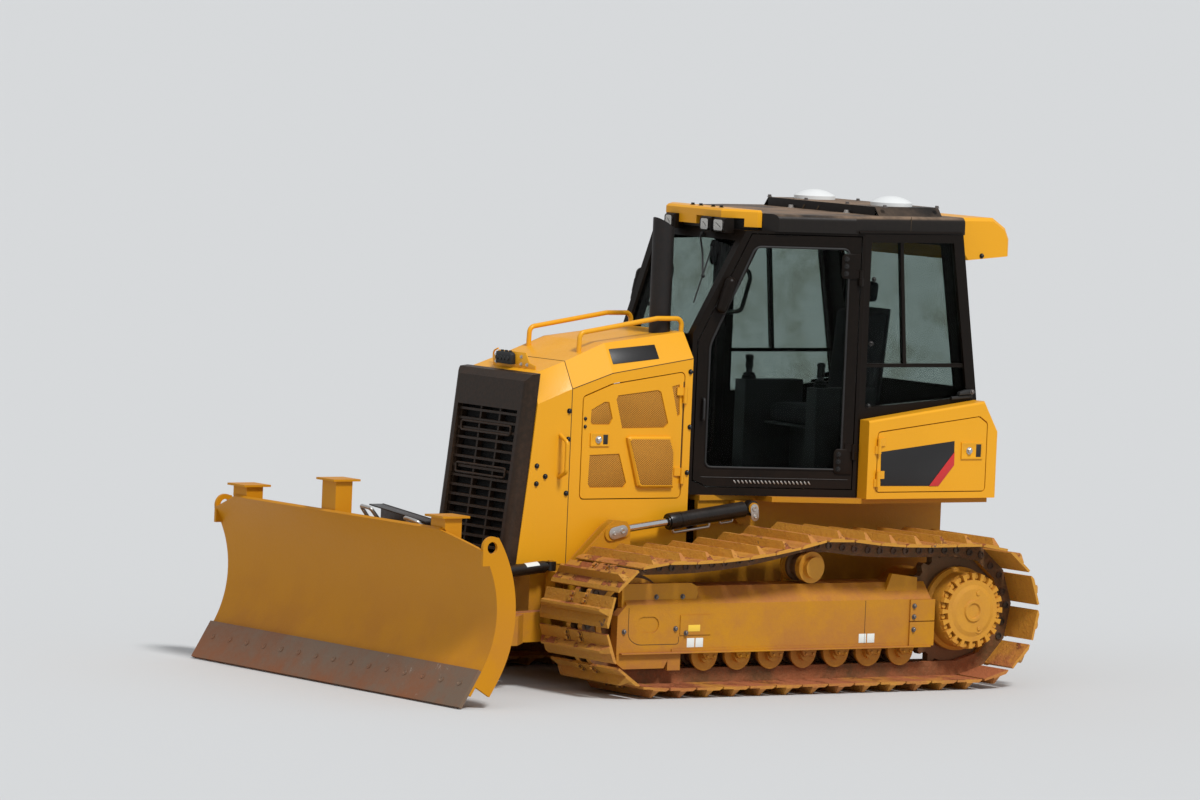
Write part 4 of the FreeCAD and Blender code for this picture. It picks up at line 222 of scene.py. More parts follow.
# %% Group: chipped and rubbed paint
chips, chips_in, chips_out = new_group(
    "paint_chips",
    (("Paint", "NodeSocketColor", (0.8, 0.4, 0.03, 1)), ("Bare", "NodeSocketColor", (0.11, 0.08, 0.06, 1)),
     ("Amount", "NodeSocketFloat", 0.3), ("Scale", "NodeSocketFloat", 22.0)),
    (("Color", "NodeSocketColor"), ("Mask", "NodeSocketFloat")))
chip_place = chips.nodes.new("ShaderNodeTexCoord").outputs["Object"]
coarse = noise(chips, chip_place, 3.1, 2.0)
fine = noise(chips, chip_place, chips_in.outputs["Scale"], 8.0, 0.75)
joined = math_node(chips, "MULTIPLY", fine, math_node(chips, "ADD", coarse, 0.42))
limit = math_node(chips, "SUBTRACT", 0.78, math_node(chips, "MULTIPLY", chips_in.outputs["Amount"], 0.32))
chip_mask = soft_step(chips, joined, limit, math_node(chips, "ADD", limit, 0.03))
chips.links.new(chip_mask, chips_out.inputs["Mask"])
chips.links.new(mix_colour(chips, chip_mask, chips_in.outputs["Paint"], chips_in.outputs["Bare"]),
                chips_out.inputs["Color"])

# %% Group: slow change of tone over a panel
tone, tone_in, tone_out = new_group(
    "panel_tone",
    (("Color", "NodeSocketColor", (0.8, 0.4, 0.03, 1)), ("Spread", "NodeSocketFloat", 0.12),
     ("Scale", "NodeSocketFloat", 1.4)),
    (("Color", "NodeSocketColor"), ("Rough", "NodeSocketFloat")))
tone_place = tone.nodes.new("ShaderNodeTexCoord").outputs["Object"]
drift = noise(tone, tone_place, tone_in.outputs["Scale"], 3.0)
drift = math_node(tone, "SUBTRACT", drift, 0.5)
lift = math_node(tone, "ADD", 1.0, math_node(tone, "MULTIPLY", drift, tone_in.outputs["Spread"]))
hue = tone.nodes.new("ShaderNodeHueSaturation")
tone.links.new(tone_in.outputs["Color"], hue.inputs["Color"])
tone.links.new(lift, hue.inputs["Value"])
tone.links.new(hue.outputs["Color"], tone_out.inputs["Color"])
tone.links.new(noise(tone, tone_place, 60.0, 4.0), tone_out.inputs["Rough"])


# %% [markdown]
# One recipe covers all painted and rusty metal: a base colour whose tone drifts a little, then
# chips, then soil, with the roughness rising where the soil lies and a faint bump under all of
# it. Only numbers differ between the yellow coat, the black cab paint and the steel tracks.

# %% The metal recipe
def place_group(tree, group, **values):
    node = tree.nodes.new("ShaderNodeGroup")
    node.node_tree = group
    for name, value in values.items():
        socket = node.inputs[name.replace("_", " ")]
        if hasattr(value, "links"):
            tree.links.new(value, socket)
        else:
            socket.default_value = value
    return node


RED_SOIL = (0.33, 0.115, 0.045, 1)
DUSK_SOIL = (0.10, 0.05, 0.028, 1)
HEAP_SOIL = (0.31, 0.085, 0.030, 1)


def way_parts(tree):
    """The X, Y and Z shares of the way a face looks."""
    parts = tree.nodes.new("ShaderNodeSeparateXYZ")
    tree.links.new(tree.nodes.new("ShaderNodeNewGeometry").outputs["Normal"], parts.inputs[0])
    return parts


def weathered(name, colour, rough, soil_amount=0.5, splash=1.1, level=0.5, chip=0.15, bare=(0.11, 0.08, 0.06, 1),
              metallic=0.0, grain=0.0006, grain_scale=120.0, spread=0.14, coat=0.0, film=0.1,
              soil_colour=RED_SOIL, chip_scale=22.0, gloss=0.5, clods=0.0, inner=None, heaps=0.0):
    """Material for painted or bare metal outdoors.

    inner: colour, middle and reach across the machine of what lies near the chain, and whether
    only its upright sides take that colour. heaps: how much soil lies in lumps on level faces.
    """
    finish = bpy.data.materials.new(name)
    finish.use_nodes = True
    tree = finish.node_tree
    shader = tree.nodes["Principled BSDF"]
    paint = (*colour, 1)
    if inner:
        spot_y = tree.nodes.new("ShaderNodeSeparateXYZ")
        tree.links.new(tree.nodes.new("ShaderNodeTexCoord").outputs["Object"], spot_y.inputs[0])
        off_middle = math_node(tree, "SUBTRACT", math_node(tree, "ABSOLUTE", spot_y.outputs["Y"]), inner[1])
        away = soft_step(tree, math_node(tree, "ABSOLUTE", off_middle), inner[2], inner[2] + 0.006)
        if inner[3]:
            sides = soft_step(tree, math_node(tree, "ABSOLUTE", way_parts(tree).outputs["Y"]), 0.5, 0.8)
            away = math_node(tree, "MAXIMUM", away, math_node(tree, "SUBTRACT", 1.0, sides))
        paint = mix_colour(tree, away, (*inner[0], 1), paint)
    base = place_group(tree, tone, Color=paint, Spread=spread)
    chipped = place_group(tree, chips, Paint=base.outputs["Color"], Bare=bare, Amount=chip, Scale=chip_scale)
    dirty = place_group(tree, soil, Paint=chipped.outputs["Color"], Soil=soil_colour, Amount=soil_amount,
                        Top_of_splash=splash, Level_faces=level, Film=film)
    spot = tree.nodes.new("ShaderNodeTexCoord").outputs["Object"]
    surface = dirty.outputs["Color"]
    if heaps:
        spot_parts = tree.nodes.new("ShaderNodeSeparateXYZ")
        tree.links.new(spot, spot_parts.inputs[0])
        lie = math_node(tree, "ADD", noise(tree, spot, 6.5, 7.0, 0.68),
                        math_node(tree, "MULTIPLY", spot_parts.outputs["X"], 0.045))
        heaped = math_node(tree, "MULTIPLY", soft_step(tree, lie, 0.555, 0.585),
                           soft_step(tree, way_parts(tree).outputs["Z"], 0.35, 0.75))
        surface = mix_colour(tree, math_node(tree, "MULTIPLY", heaped, heaps), surface, HEAP_SOIL)
    tree.links.new(surface, shader.inputs["Base Color"])
    wear = math_node(tree, "MULTIPLY", math_node(tree, "SUBTRACT", base.outputs["Rough"], 0.5), 0.25)
    dull = math_node(tree, "MULTIPLY", dirty.outputs["Mask"], 0.85 - rough)
    total = math_node(tree, "ADD", math_node(tree, "ADD", wear, rough), dull, clamp=True)
    tree.links.new(total, shader.inputs["Roughness"])
    shader.inputs["Metallic"].default_value = metallic
    shader.inputs["Specular IOR Level"].default_value = gloss
    shader.inputs["Coat Weight"].default_value = coat
    shader.inputs["Coat Roughness"].default_value = 0.15
    bump = tree.nodes.new("ShaderNodeBump")
    bump.inputs["Strength"].default_value = 1.0
    bump.inputs["Distance"].default_value = grain
    rise = math_node(tree, "ADD", noise(tree, spot, grain_scale, 3.0),
                     math_node(tree, "MULTIPLY", dirty.outputs["Mask"], 1.5))
    if clods:
        lumps = math_node(tree, "MULTIPLY", noise(tree, spot, 38.0, 5.0, 0.7), dirty.outputs["Mask"])
        rise = math_node(tree, "ADD", rise, math_node(tree, "MULTIPLY", lumps, clods))
    if heaps:
        rise = math_node(tree, "ADD", rise, math_node(
            tree, "MULTIPLY", heaped, math_node(tree, "MULTIPLY", noise(tree, spot, 30.0, 5.0, 0.75), 9.0)))
    tree.links.new(rise, bump.inputs["Height"])
    tree.links.new(bump.outputs[0], shader.inputs["Normal"])
    return finish


machine_yellow = weathered("machine_yellow", (0.76, 0.345, 0.010), 0.38, 0.30, 0.8, 0.30, 0.02, coat=0.06,
                           film=0.04, gloss=0.26)
# The blade's yellow is a darker copy of the machine's yellow: painted shade, which stands in for the shade on the
# blade's face.
blade_yellow_painted_shade = weathered("blade_yellow_painted_shade", (0.54, 0.222, 0.005), 0.42, 0.40, 0.7, 0.45, 0.12, film=0.07, gloss=0.16)
frame_yellow = weathered("frame_yellow", (0.50, 0.218, 0.007), 0.5, 0.78, 0.75, 1.0, 0.16, grain=0.0012, film=0.16,
                         gloss=0.25)
cab_black = weathered("cab_black", (0.0062, 0.0040, 0.0026), 0.36, 0.22, 1.6, 0.25, 0.02, soil_colour=DUSK_SOIL,
                      spread=0.3, gloss=0.13)
nose_brown = weathered("nose_brown", (0.022, 0.0135, 0.008), 0.40, 0.55, 1.5, 0.4, 0.02, soil_colour=DUSK_SOIL,
                       spread=0.35, gloss=0.2, film=0.3)
roof_black = weathered("roof_black", (0.012, 0.0095, 0.008), 0.42, 0.75, 1.0, 1.0, 0.02,
                       soil_colour=(0.30, 0.20, 0.13, 1), spread=0.3, gloss=0.2, film=0.01)
exhaust_black = weathered("exhaust_black", (0.009, 0.0075, 0.007), 0.55, 0.15, 1.0, 0.2, 0.05, gloss=0.3)
cylinder_black = weathered("cylinder_black", (0.008, 0.0062, 0.005), 0.30, 0.2, 1.2, 0.5, 0.04,
                           soil_colour=DUSK_SOIL, gloss=0.4)
track_mustard = weathered("track_mustard", (0.52, 0.245, 0.028), 0.62, 0.75, 0.42, 0.9, 0.34,
                          bare=(0.13, 0.085, 0.05, 1), grain=0.002, grain_scale=70.0, spread=0.5, film=0.25,
                          soil_colour=(0.38, 0.12, 0.045, 1), gloss=0.3, clods=6.0, chip_scale=9.0,
                          inner=((0.11, 0.055, 0.02), 0.875, 0.085, True), heaps=0.92)
wheel_mustard = weathered("wheel_mustard", (0.60, 0.275, 0.022), 0.55, 0.55, 0.7, 0.7, 0.14, grain=0.0015,
                          spread=0.3, film=0.2, gloss=0.35, inner=((0.14, 0.075, 0.03), 0.875, 0.045, False))
edge_steel = weathered("edge_steel", (0.22, 0.15, 0.10), 0.42, 0.7, 0.5, 0.5, 0.4, metallic=0.6,
                       bare=(0.42, 0.36, 0.30, 1), grain=0.001)
hitch_steel = weathered("hitch_steel", (0.05, 0.035, 0.022), 0.55, 0.5, 1.1, 0.6, 0.2, metallic=0.3)
engine_grey = weathered("engine_grey", (0.03, 0.028, 0.026), 0.6, 0.3, 1.0, 0.4, 0.1)

# %% [markdown]
# ## Glass, chrome and cab fittings
# Tinted glass lets some light through and darkens it. The rods are chromed, and the seat is
# woven cloth. These are simple materials, so each gets a few nodes of its own.

# %% Plain finishes
def simple_finish(name, colour, rough, metallic=0.0, bump_scale=0.0, bump_depth=0.0, variation=0.15):
    finish = bpy.data.materials.new(name)
    finish.use_nodes = True
    tree = finish.node_tree
    shader = tree.nodes["Principled BSDF"]
    base = place_group(tree, tone, Color=(*colour, 1), Spread=variation, Scale=6.0)
    tree.links.new(base.outputs["Color"], shader.inputs["Base Color"])
    shader.inputs["Metallic"].default_value = metallic
    wear = math_node(tree, "MULTIPLY", math_node(tree, "SUBTRACT", base.outputs["Rough"], 0.5), 0.15)
    tree.links.new(math_node(tree, "ADD", wear, rough, clamp=True), shader.inputs["Roughness"])
    if bump_scale:
        bump = tree.nodes.new("ShaderNodeBump")
        bump.inputs["Distance"].default_value = bump_depth
        spot = tree.nodes.new("ShaderNodeTexCoord").outputs["Object"]
        tree.links.new(noise(tree, spot, bump_scale, 3.0), bump.inputs["Height"])
        tree.links.new(bump.outputs[0], shader.inputs["Normal"])
    return finish


rod_chrome = simple_finish("rod_chrome", (0.72, 0.72, 0.72), 0.14, 1.0)
dome_white = simple_finish("dome_white", (0.70, 0.71, 0.70), 0.38, variation=0.06)
console_grey = simple_finish("console_grey", (0.035, 0.035, 0.038), 0.55, bump_scale=300.0, bump_depth=0.0004)
seat_cloth = simple_finish("seat_cloth", (0.03, 0.03, 0.035), 0.85, bump_scale=420.0, bump_depth=0.0008)
rubber_black = simple_finish("rubber_black", (0.012, 0.012, 0.012), 0.65, bump_scale=200.0, bump_depth=0.0003)
bolt_steel = simple_finish("bolt_steel", (0.16, 0.14, 0.13), 0.45, 0.7)
bright_steel = simple_finish("bright_steel", (0.55, 0.53, 0.50), 0.35, 0.9)
bolt_black = simple_finish("bolt_black", (0.012, 0.011, 0.010), 0.3, 0.3)
screen_mesh = simple_finish("screen_mesh", (0.004, 0.0035, 0.003), 0.9, bump_scale=260.0, bump_depth=0.002)
seam_dark = simple_finish("seam_dark", (0.06, 0.035, 0.012), 0.8, bump_scale=150.0, bump_depth=0.0002)
plate_black = simple_finish("plate_black", (0.007, 0.006, 0.006), 0.42, bump_scale=90.0, bump_depth=0.0001)
band_red = simple_finish("band_red", (0.55, 0.02, 0.02), 0.35, bump_scale=90.0, bump_depth=0.0001)
sticker_white = simple_finish("sticker_white", (0.72, 0.74, 0.70), 0.4, bump_scale=90.0, bump_depth=0.0001)
sticker_amber = simple_finish("sticker_amber", (0.85, 0.55, 0.05), 0.4, bump_scale=90.0, bump_depth=0.0001)
lamp_face = simple_finish("lamp_face", (0.46, 0.44, 0.41), 0.18, 0.85, bump_scale=60.0, bump_depth=0.002)

# %% [markdown]
# The perforated sheet is a flat plate whose holes are a pattern. A Voronoi texture without
# randomness is an even grid of cells, and the distance from a cell's middle gives round dots:
# dark holes in a yellow sheet. The grid is turned by 45 degrees, as the holes are staggered.

# %% Perforated sheet
perforated_tan = bpy.data.materials.new("perforated_tan")
perforated_tan.use_nodes = True
sheet_tree = perforated_tan.node_tree
sheet_shader = sheet_tree.nodes["Principled BSDF"]
sheet_place = sheet_tree.nodes.new("ShaderNodeTexCoord").outputs["Object"]
sheet_split = sheet_tree.nodes.new("ShaderNodeSeparateXYZ")
sheet_tree.links.new(sheet_place, sheet_split.inputs[0])
sheet_flat = sheet_tree.nodes.new("ShaderNodeCombineXYZ")
sheet_tree.links.new(sheet_split.outputs["X"], sheet_flat.inputs["X"])
sheet_tree.links.new(sheet_split.outputs["Z"], sheet_flat.inputs["Y"])
sheet_turn = sheet_tree.nodes.new("ShaderNodeMapping")
sheet_turn.inputs["Rotation"].default_value = (0, 0, math.radians(45))
sheet_tree.links.new(sheet_flat.outputs[0], sheet_turn.inputs["Vector"])
holes = sheet_tree.nodes.new("ShaderNodeTexVoronoi")
holes.voronoi_dimensions = "2D"
holes.inputs["Scale"].default_value = 1 / 0.0085
holes.inputs["Randomness"].default_value = 0.0
sheet_tree.links.new(sheet_turn.outputs[0], holes.inputs["Vector"])
solid_part = soft_step(sheet_tree, holes.outputs["Distance"], 0.33, 0.40)
sheet_tone = place_group(sheet_tree, tone, Color=(0.66, 0.280, 0.028, 1), Spread=0.35, Scale=2.4)
sheet_tree.links.new(mix_colour(sheet_tree, solid_part, (0.045, 0.03, 0.015, 1), sheet_tone.outputs["Color"]),
                     sheet_shader.inputs["Base Color"])
sheet_shader.inputs["Roughness"].default_value = 0.5
sheet_shader.inputs["Specular IOR Level"].default_value = 0.2
sheet_bump = sheet_tree.nodes.new("ShaderNodeBump")
sheet_bump.inputs["Distance"].default_value = 0.001
sheet_tree.links.new(solid_part, sheet_bump.inputs["Height"])
sheet_tree.links.new(sheet_bump.outputs[0], sheet_shader.inputs["Normal"])


def glass_finish(name, colour, rough=0.03):
    finish = bpy.data.materials.new(name)
    finish.use_nodes = True
    shader = finish.node_tree.nodes["Principled BSDF"]
    tree = finish.node_tree
    shader.inputs["Transmission Weight"].default_value = 1.0
    shader.inputs["IOR"].default_value = 1.1
    streaks = noise(tree, tree.nodes.new("ShaderNodeTexCoord").outputs["Object"], 5.0, 5.0)
    dusty = mix_colour(tree, soft_step(tree, streaks, 0.45, 0.8), (*colour, 1),
                       (colour[0] * 0.75, colour[1] * 0.72, colour[2] * 0.65, 1))
    tree.links.new(dusty, shader.inputs["Base Color"])
    shader.inputs["Roughness"].default_value = rough
    return finish


tinted_glass = glass_finish("tinted_glass", (0.42, 0.48, 0.46))

# %% Dress the CAD nodes
FINISH_OF = {
    machine_yellow: ("hood", "front_cowl", "rear_body", "tank_door", "rear_roof_cover", "roof_visor",
                     "hood_handrails", "engine_door_left", "engine_door_right"),
    blade_yellow_painted_shade: ("moldboard", "blade_frame", "blade_stops"),
    frame_yellow: ("push_frame", "track_frame_left", "track_frame_right", "main_frame",
                   "lift_brackets", "fender_decks"),
    cab_black: ("cab_frame", "cab_door_left", "cab_door_right", "work_lights"),
    nose_brown: ("nose_shell", "grille"),
    roof_black: ("cab_roof", "roof_tray"),
    exhaust_black: ("exhaust_stack",),
    cylinder_black: ("lift_barrel_left", "lift_barrel_right", "angle_barrel_left", "angle_barrel_right",
                     "tilt_barrel"),
    rod_chrome: ("lift_rod_left", "lift_rod_right", "angle_rod_left", "angle_rod_right", "tilt_rod"),
    track_mustard: ("track_left", "track_right"),
    wheel_mustard: ("sprocket_left", "sprocket_right", "idler_left", "idler_right", "track_rollers",
                    "carrier_rollers"),
    edge_steel: ("cutting_edge",),
    hitch_steel: ("drawbar", "blade_pivot"),
    engine_grey: ("engine_block",),
    dome_white: ("antenna_domes",),
    console_grey: ("control_consoles",),
    seat_cloth: ("seat",),
    tinted_glass: ("cab_glass", "cab_door_glass_left", "cab_door_glass_right"),
}
for finish, names in FINISH_OF.items():
    for name in names:
        node = nodes[name]
        if not node.material_slots:
            node.data.materials.append(finish)
        for holder in node.material_slots:
            holder.material = finish
print("undressed:", [n for n in nodes if not any(n in v for v in FINISH_OF.values())])

# %% [markdown]
# ## Small pieces
# A machine this size is covered with small steel things: bolt heads, straps, latches, grab
# bars and thin seams between its panels. Each kind is modelled once from a primitive with
# edit-mode tools, then copied to its places, and the copies of one kind on one body are joined.

# %% Where a measured point lies
DRAWING_OFFSET = 0.421996
DOOR_START = Vector((-0.570, 0.685))
DOOR_ALONG = Vector((0.955, -0.335)).normalized()
DOOR_OUT = Vector((-DOOR_ALONG.y, DOOR_ALONG.x))


def at(x, y, z):
    """Point given in the machine drawing's millimetres, whose origin lies further back."""
    return Vector((x / 1000 - DRAWING_OFFSET, y / 1000, z / 1000))


def on_door(u, z, depth=0.0, side=1):
    """Point on a cab door: metres along it from its hinge post, height, metres outward."""
    spot = DOOR_START + DOOR_ALONG * u + DOOR_OUT * depth
    return Vector((spot.x - DRAWING_OFFSET, side * spot.y, z))


def door_way(side=1):
    return Vector((DOOR_OUT.x, side * DOOR_OUT.y, 0))


def mirrored(point):
    return Vector((point[0], -point[1], point[2]))


print("door leans out by", round(math.degrees(math.atan2(DOOR_OUT.x, DOOR_OUT.y)), 1), "degrees")


# %% Helpers for small pieces
def clear_selection():
    if bpy.context.mode != "OBJECT":
        bpy.ops.object.mode_set(mode="OBJECT")
    bpy.ops.object.select_all(action="DESELECT")


def choose(item):
    clear_selection()
    item.select_set(True)
    bpy.context.view_layer.objects.active = item


def join_pieces(items):
    clear_selection()
    for item in items:
        item.select_set(True)
    bpy.context.view_layer.objects.active = items[0]
    if len(items) > 1:
        bpy.ops.object.join()
    return items[0]


def finish_piece(item, name, body, finish):
    """Put the piece's place in its mesh, name it, dress it and let it ride on its body."""
    choose(item)
    bpy.ops.object.transform_apply(location=True, rotation=True, scale=True)
    item.name = item.data.name = name
    item.data.materials.clear()
    item.data.materials.append(finish)
    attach(item, body)
    return item


def soften(item, width, segments=2, angle=35):
    """Round the sharp edges of a piece and keep the result."""
    choose(item)
    rounding = item.modifiers.new("rounding", "BEVEL")
    rounding.width = width
    rounding.segments = segments
    rounding.limit_method = "ANGLE"
    rounding.angle_limit = math.radians(angle)
    bpy.ops.object.modifier_apply(modifier=rounding.name)
    bpy.ops.object.shade_smooth_by_angle(angle=math.radians(40))
    return item


def select_faces(item, wanted):
    """Go to edit mode with only the faces selected for which wanted(face) holds."""
    choose(item)
    bpy.ops.object.mode_set(mode="EDIT")
    bpy.ops.mesh.select_all(action="DESELECT")
    shape = bmesh.from_edit_mesh(item.data)
    for face in shape.faces:
        face.select_set(wanted(face))
    bmesh.update_edit_mesh(item.data)


def leave_edit():
    bpy.ops.object.mode_set(mode="OBJECT")


def scatter(template, places, name, body, finish, turn=0.0):
    """Copies of a small piece, each with its Z axis along a direction, joined as one."""
    copies = []
    for spot, way in places:
        copy = template.copy()
        copy.data = template.data.copy()
        scene.collection.objects.link(copy)
        facing_way = Vector(way).to_track_quat("Z", "Y").to_matrix().to_4x4()
        copy.matrix_world = Matrix.Translation(spot) @ facing_way @ Matrix.Rotation(turn, 4, "Z")
        copies.append(copy)
    bpy.context.view_layer.update()
    return finish_piece(join_pieces(copies), name, body, finish)


def outline_plate(points, thickness, way, edge=0.002):
    """Plate from an outline in space, raised along a direction, with softened edges."""
    clear_selection()
    bpy.ops.mesh.primitive_circle_add(vertices=len(points), radius=1, fill_type="NGON")
    item = bpy.context.object
    for vertex, point in zip(item.data.vertices, points):
        vertex.co = point
    bpy.ops.object.mode_set(mode="EDIT")
    bpy.ops.mesh.select_all(action="SELECT")
    push = Vector(way).normalized() * thickness
    bpy.ops.mesh.extrude_region_move(TRANSFORM_OT_translate={"value": push})
    bpy.ops.mesh.select_all(action="SELECT")
    bpy.ops.mesh.normals_make_consistent(inside=False)
    leave_edit()
    return soften(item, edge) if edge else item


def side_plate(points, y, thickness, edge=0.002):
    """Plate in a side plane, given by x and z in metres, standing out to its own side."""
    return outline_plate([(x, y, z) for x, z in points], thickness, (0, 1 if y > 0 else -1, 0), edge)


def tube(points, radius, sides=2, closed=False):
    """Round bar along a line of points, made a mesh."""
    line = bpy.data.curves.new("bar", "CURVE")
    line.dimensions = "3D"
    line.bevel_depth = radius
    line.bevel_resolution = sides
    line.use_fill_caps = not closed
    run = line.splines.new("POLY")
    run.points.add(len(points) - 1)
    for point, spot in zip(run.points, points):
        point.co = (*spot, 1)
    run.use_cyclic_u = closed
    item = bpy.data.objects.new("bar", line)
    scene.collection.objects.link(item)
    choose(item)
    bpy.ops.object.convert(target="MESH")
    item = bpy.context.object
    bpy.ops.object.mode_set(mode="EDIT")
    bpy.ops.mesh.select_all(action="SELECT")
    bpy.ops.mesh.remove_doubles(threshold=0.00001)
    bpy.ops.mesh.normals_make_consistent(inside=False)
    leave_edit()
    bpy.ops.object.shade_smooth_by_angle(angle=math.radians(50))
    return item


def bent(corners, radius, steps=5, closed=False):
    """Points of a line that turns each corner in a smooth bend."""
    corners = [Vector(corner) for corner in corners]
    count = len(corners)
    points = [] if closed else [corners[0]]
    for i in range(count) if closed else range(1, count - 1):
        before, corner, after = corners[i - 1], corners[i], corners[(i + 1) % count]
        back, ahead = before - corner, after - corner
        reach = min(radius, back.length * 0.48, ahead.length * 0.48)
        start, end = corner + back.normalized() * reach, corner + ahead.normalized() * reach
        for step in range(steps + 1):
            t = step / steps
            points.append(start * (1 - t) ** 2 + corner * (2 * t * (1 - t)) + end * t ** 2)
    if not closed:
        points.append(corners[-1])
    return points


# %% [markdown]
# A bolt head is a hexagon on a round washer. It is made from a six-sided and a twelve-sided
# cylinder whose top faces are inset and lowered a little. A few dozen faces are enough,
# because the machine needs hundreds of them.

# %% One bolt head
def bolt_head(radius, height, washer=1.45):
    parts = []
    for sides, wide, tall, middle in ((6, radius, height, 0.65), (12, radius * washer, height * 0.3, 0.12)):
        clear_selection()
        bpy.ops.mesh.primitive_cylinder_add(vertices=sides, radius=wide, depth=tall,
                                            location=(0, 0, height * middle))
        part = bpy.context.object
        select_faces(part, lambda face: face.normal.z > 0.9)
        bpy.ops.mesh.inset(thickness=radius * 0.16, depth=tall * 0.12)
        leave_edit()
        parts.append(part)
    head = join_pieces(parts)
    choose(head)
    bpy.ops.object.transform_apply(location=True, rotation=True, scale=True)
    return head


small_bolt = bolt_head(0.0075, 0.007)
panel_bolt = bolt_head(0.0105, 0.011)
large_bolt = bolt_head(0.015, 0.014)
print("faces of one bolt head:", len(panel_bolt.data.polygons))

# %% [markdown]
# ## Hood and engine doors
# Black bolts hold the cowl and the edges of the hood. The doors have sunk panels of perforated
# sheet, one raised perforated box over the air intake, and a slam latch. The perforation is far
# too fine to model: a few ten thousand holes would only shimmer. It is a pattern of round dots
# in the material, and the sheet itself is a thin plate in its pocket.

# %% Bolts on the hood and cowl
# Columns: x, z on the machine's side, in metres
HOOD_BOLTS = ((0.006, 1.777), (-0.004, 1.461), (0.002, 1.20))
COWL_BOLTS = ((0.838, 1.556), (0.838, 1.396), (0.838, 1.09), (1.030, 1.244), (1.029, 1.143), (0.974, 1.185))


def cowl_side(x):
    """Half width of the cowl, which narrows towards the nose."""
    return 0.400 - 0.125 * max(x - 0.823, 0.0)


def both(places):
    return places + [(mirrored(spot), mirrored(way)) for spot, way in places]


spots = [(Vector((x, 0.400, z)), Vector((0, 1, 0))) for x, z in HOOD_BOLTS]
spots += [(Vector((x, cowl_side(x), z)), Vector((0.12, 1, 0))) for x, z in COWL_BOLTS]
scatter(panel_bolt, both(spots), "hood_bolts", "chassis", bolt_black)

# %% Perforated panels, latch and bolts of the engine doors
GRILLES = (
    ((0.684, 1.560), (0.597, 1.604), (0.567, 1.602), (0.540, 1.512), (0.558, 1.480), (0.673, 1.481),
     (0.686, 1.493)),
    ((0.501, 1.641), (0.230, 1.671), (0.207, 1.660), (0.150, 1.484), (0.175, 1.461), (0.466, 1.458),
     (0.513, 1.620)),
    ((0.127, 1.690), (0.080, 1.701), (0.073, 1.533), (0.082, 1.525)),
    ((0.683, 1.303), (0.482, 1.309), (0.428, 1.147), (0.443, 1.122), (0.675, 1.122), (0.688, 1.145)),
)
BOX_PANEL = ((0.424, 1.386), (0.412, 1.395), (0.150, 1.393), (0.122, 1.318), (0.122, 1.132), (0.329, 1.134),
             (0.344, 1.144))
LATCH = ((0.556, 1.354), (0.689, 1.354), (0.689, 1.431), (0.556, 1.431))
LATCH_SLOT = ((0.566, 1.365), (0.598, 1.365), (0.598, 1.421), (0.566, 1.421))
for side, name in ((1, "left"), (-1, "right")):
    body = name + "_engine_door"
    sheets = [side_plate(points, side * 0.393, 0.0025, 0.0008) for points in GRILLES]
    sheets.append(side_plate(BOX_PANEL, side * 0.426, 0.0015, 0.0006))
    finish_piece(join_pieces(sheets), "perforated_sheets_" + name, body, perforated_tan)
    dish = side_plate(LATCH, side * 0.399, 0.009, 0.002)
    select_faces(dish, lambda face: face.normal.y * side > 0.99 and face.calc_area() > 0.004)
    bpy.ops.mesh.inset(thickness=0.010, depth=-0.006)
    leave_edit()
    finish_piece(dish, "latch_dish_" + name, body, machine_yellow)
    finger_slot = side_plate(LATCH_SLOT, side * 0.4008, 0.0022, 0.0005)
    finish_piece(finger_slot, "latch_slot_" + name, body, rubber_black)
    scatter(large_bolt, [((0.631, side * 0.4015, 1.393), (0, side, 0))], "latch_lock_" + name, body,
            bright_steel)
    scatter(small_bolt, [((0.726, side * 0.400, z), (0, side, 0)) for z in (1.512, 1.467)],
            "door_bolts_" + name, body, bolt_black)
    ribs = [tube([(x, side * 0.4, z0), (x, side * 0.4, z1)], 0.0028, 1) for x, z0, z1 in ((0.0485, 1.17, 1.72),)]
    finish_piece(join_pieces(ribs), "door_stop_strip_" + name, body, rubber_black)

# %% [markdown]
# Panels meet in gaps a few millimetres wide. From any distance they read as fine dark lines,
# so each is a thin dark bar that is half sunk in the sheet along the joint.

# %% Seams of the hood and cowl
def seam(name, lines, body="chassis", radius=0.0022):
    bars = [tube([Vector(point) for point in line], radius, 1) for line in lines]
    return finish_piece(join_pieces(bars), name, body, seam_dark)


lines = []
for side in (1, -1):
    lines.append([(0.823, side * 0.4, 1.681), (0.548, side * 0.4, 1.769), (-0.0115, side * 0.4, 1.853)])
    lines.append([(0.823, side * 0.4, 1.681), (0.823, side * 0.4, 0.692)])
    lines.append([(0.823, side * 0.4, 1.681), (0.823, side * 0.31, 1.832)])
lines.append([(0.823, 0.31, 1.832), (0.823, -0.31, 1.832)])
seam("hood_seams", lines)

# %% [markdown]
# Two plain plates sit on the hood, one on each of its shoulders. They follow the sloping face between the hood's side and its top.

# %% Blank plates on the hood's shoulders
def shoulder(x, share):
    """Point on the sloping shoulder: x in metres, share 0 at the side, 1 at the top."""
    run = (0.548 - x) / 0.560
    low = Vector((x, 0.400, 1.769 + 0.084 * run))
    high = Vector((x, 0.300 - 0.010 * run, 1.935 + 0.065 * run))
    return low.lerp(high, share)


plate_corners = [shoulder(0.530, 0.28), shoulder(0.530, 0.78), shoulder(0.215, 0.70), shoulder(0.215, 0.20)]
slope = (plate_corners[1] - plate_corners[0]).cross(plate_corners[3] - plate_corners[0]).normalized()
if slope.z < 0:
    slope = -slope
for side, name in ((1, "left"), (-1, "right")):
    corners = [Vector((p.x, side * p.y, p.z)) for p in plate_corners]
    plate = outline_plate(corners, 0.0025, (slope.x, side * slope.y, slope.z), 0.001)
    finish_piece(plate, "hood_plate_" + name, "chassis", plate_black)
print("plate leans", round(math.degrees(math.acos(slope.z))), "degrees from level")

# %% [markdown]
# ## Nose
# In front of the level slats run two flat loops of bent bar, which stiffen the grille. A loop
# is a closed line with small bends at its corners, swept into a round bar. On top of the cowl
# stands a small yellow bracket with a cable coupling on it.

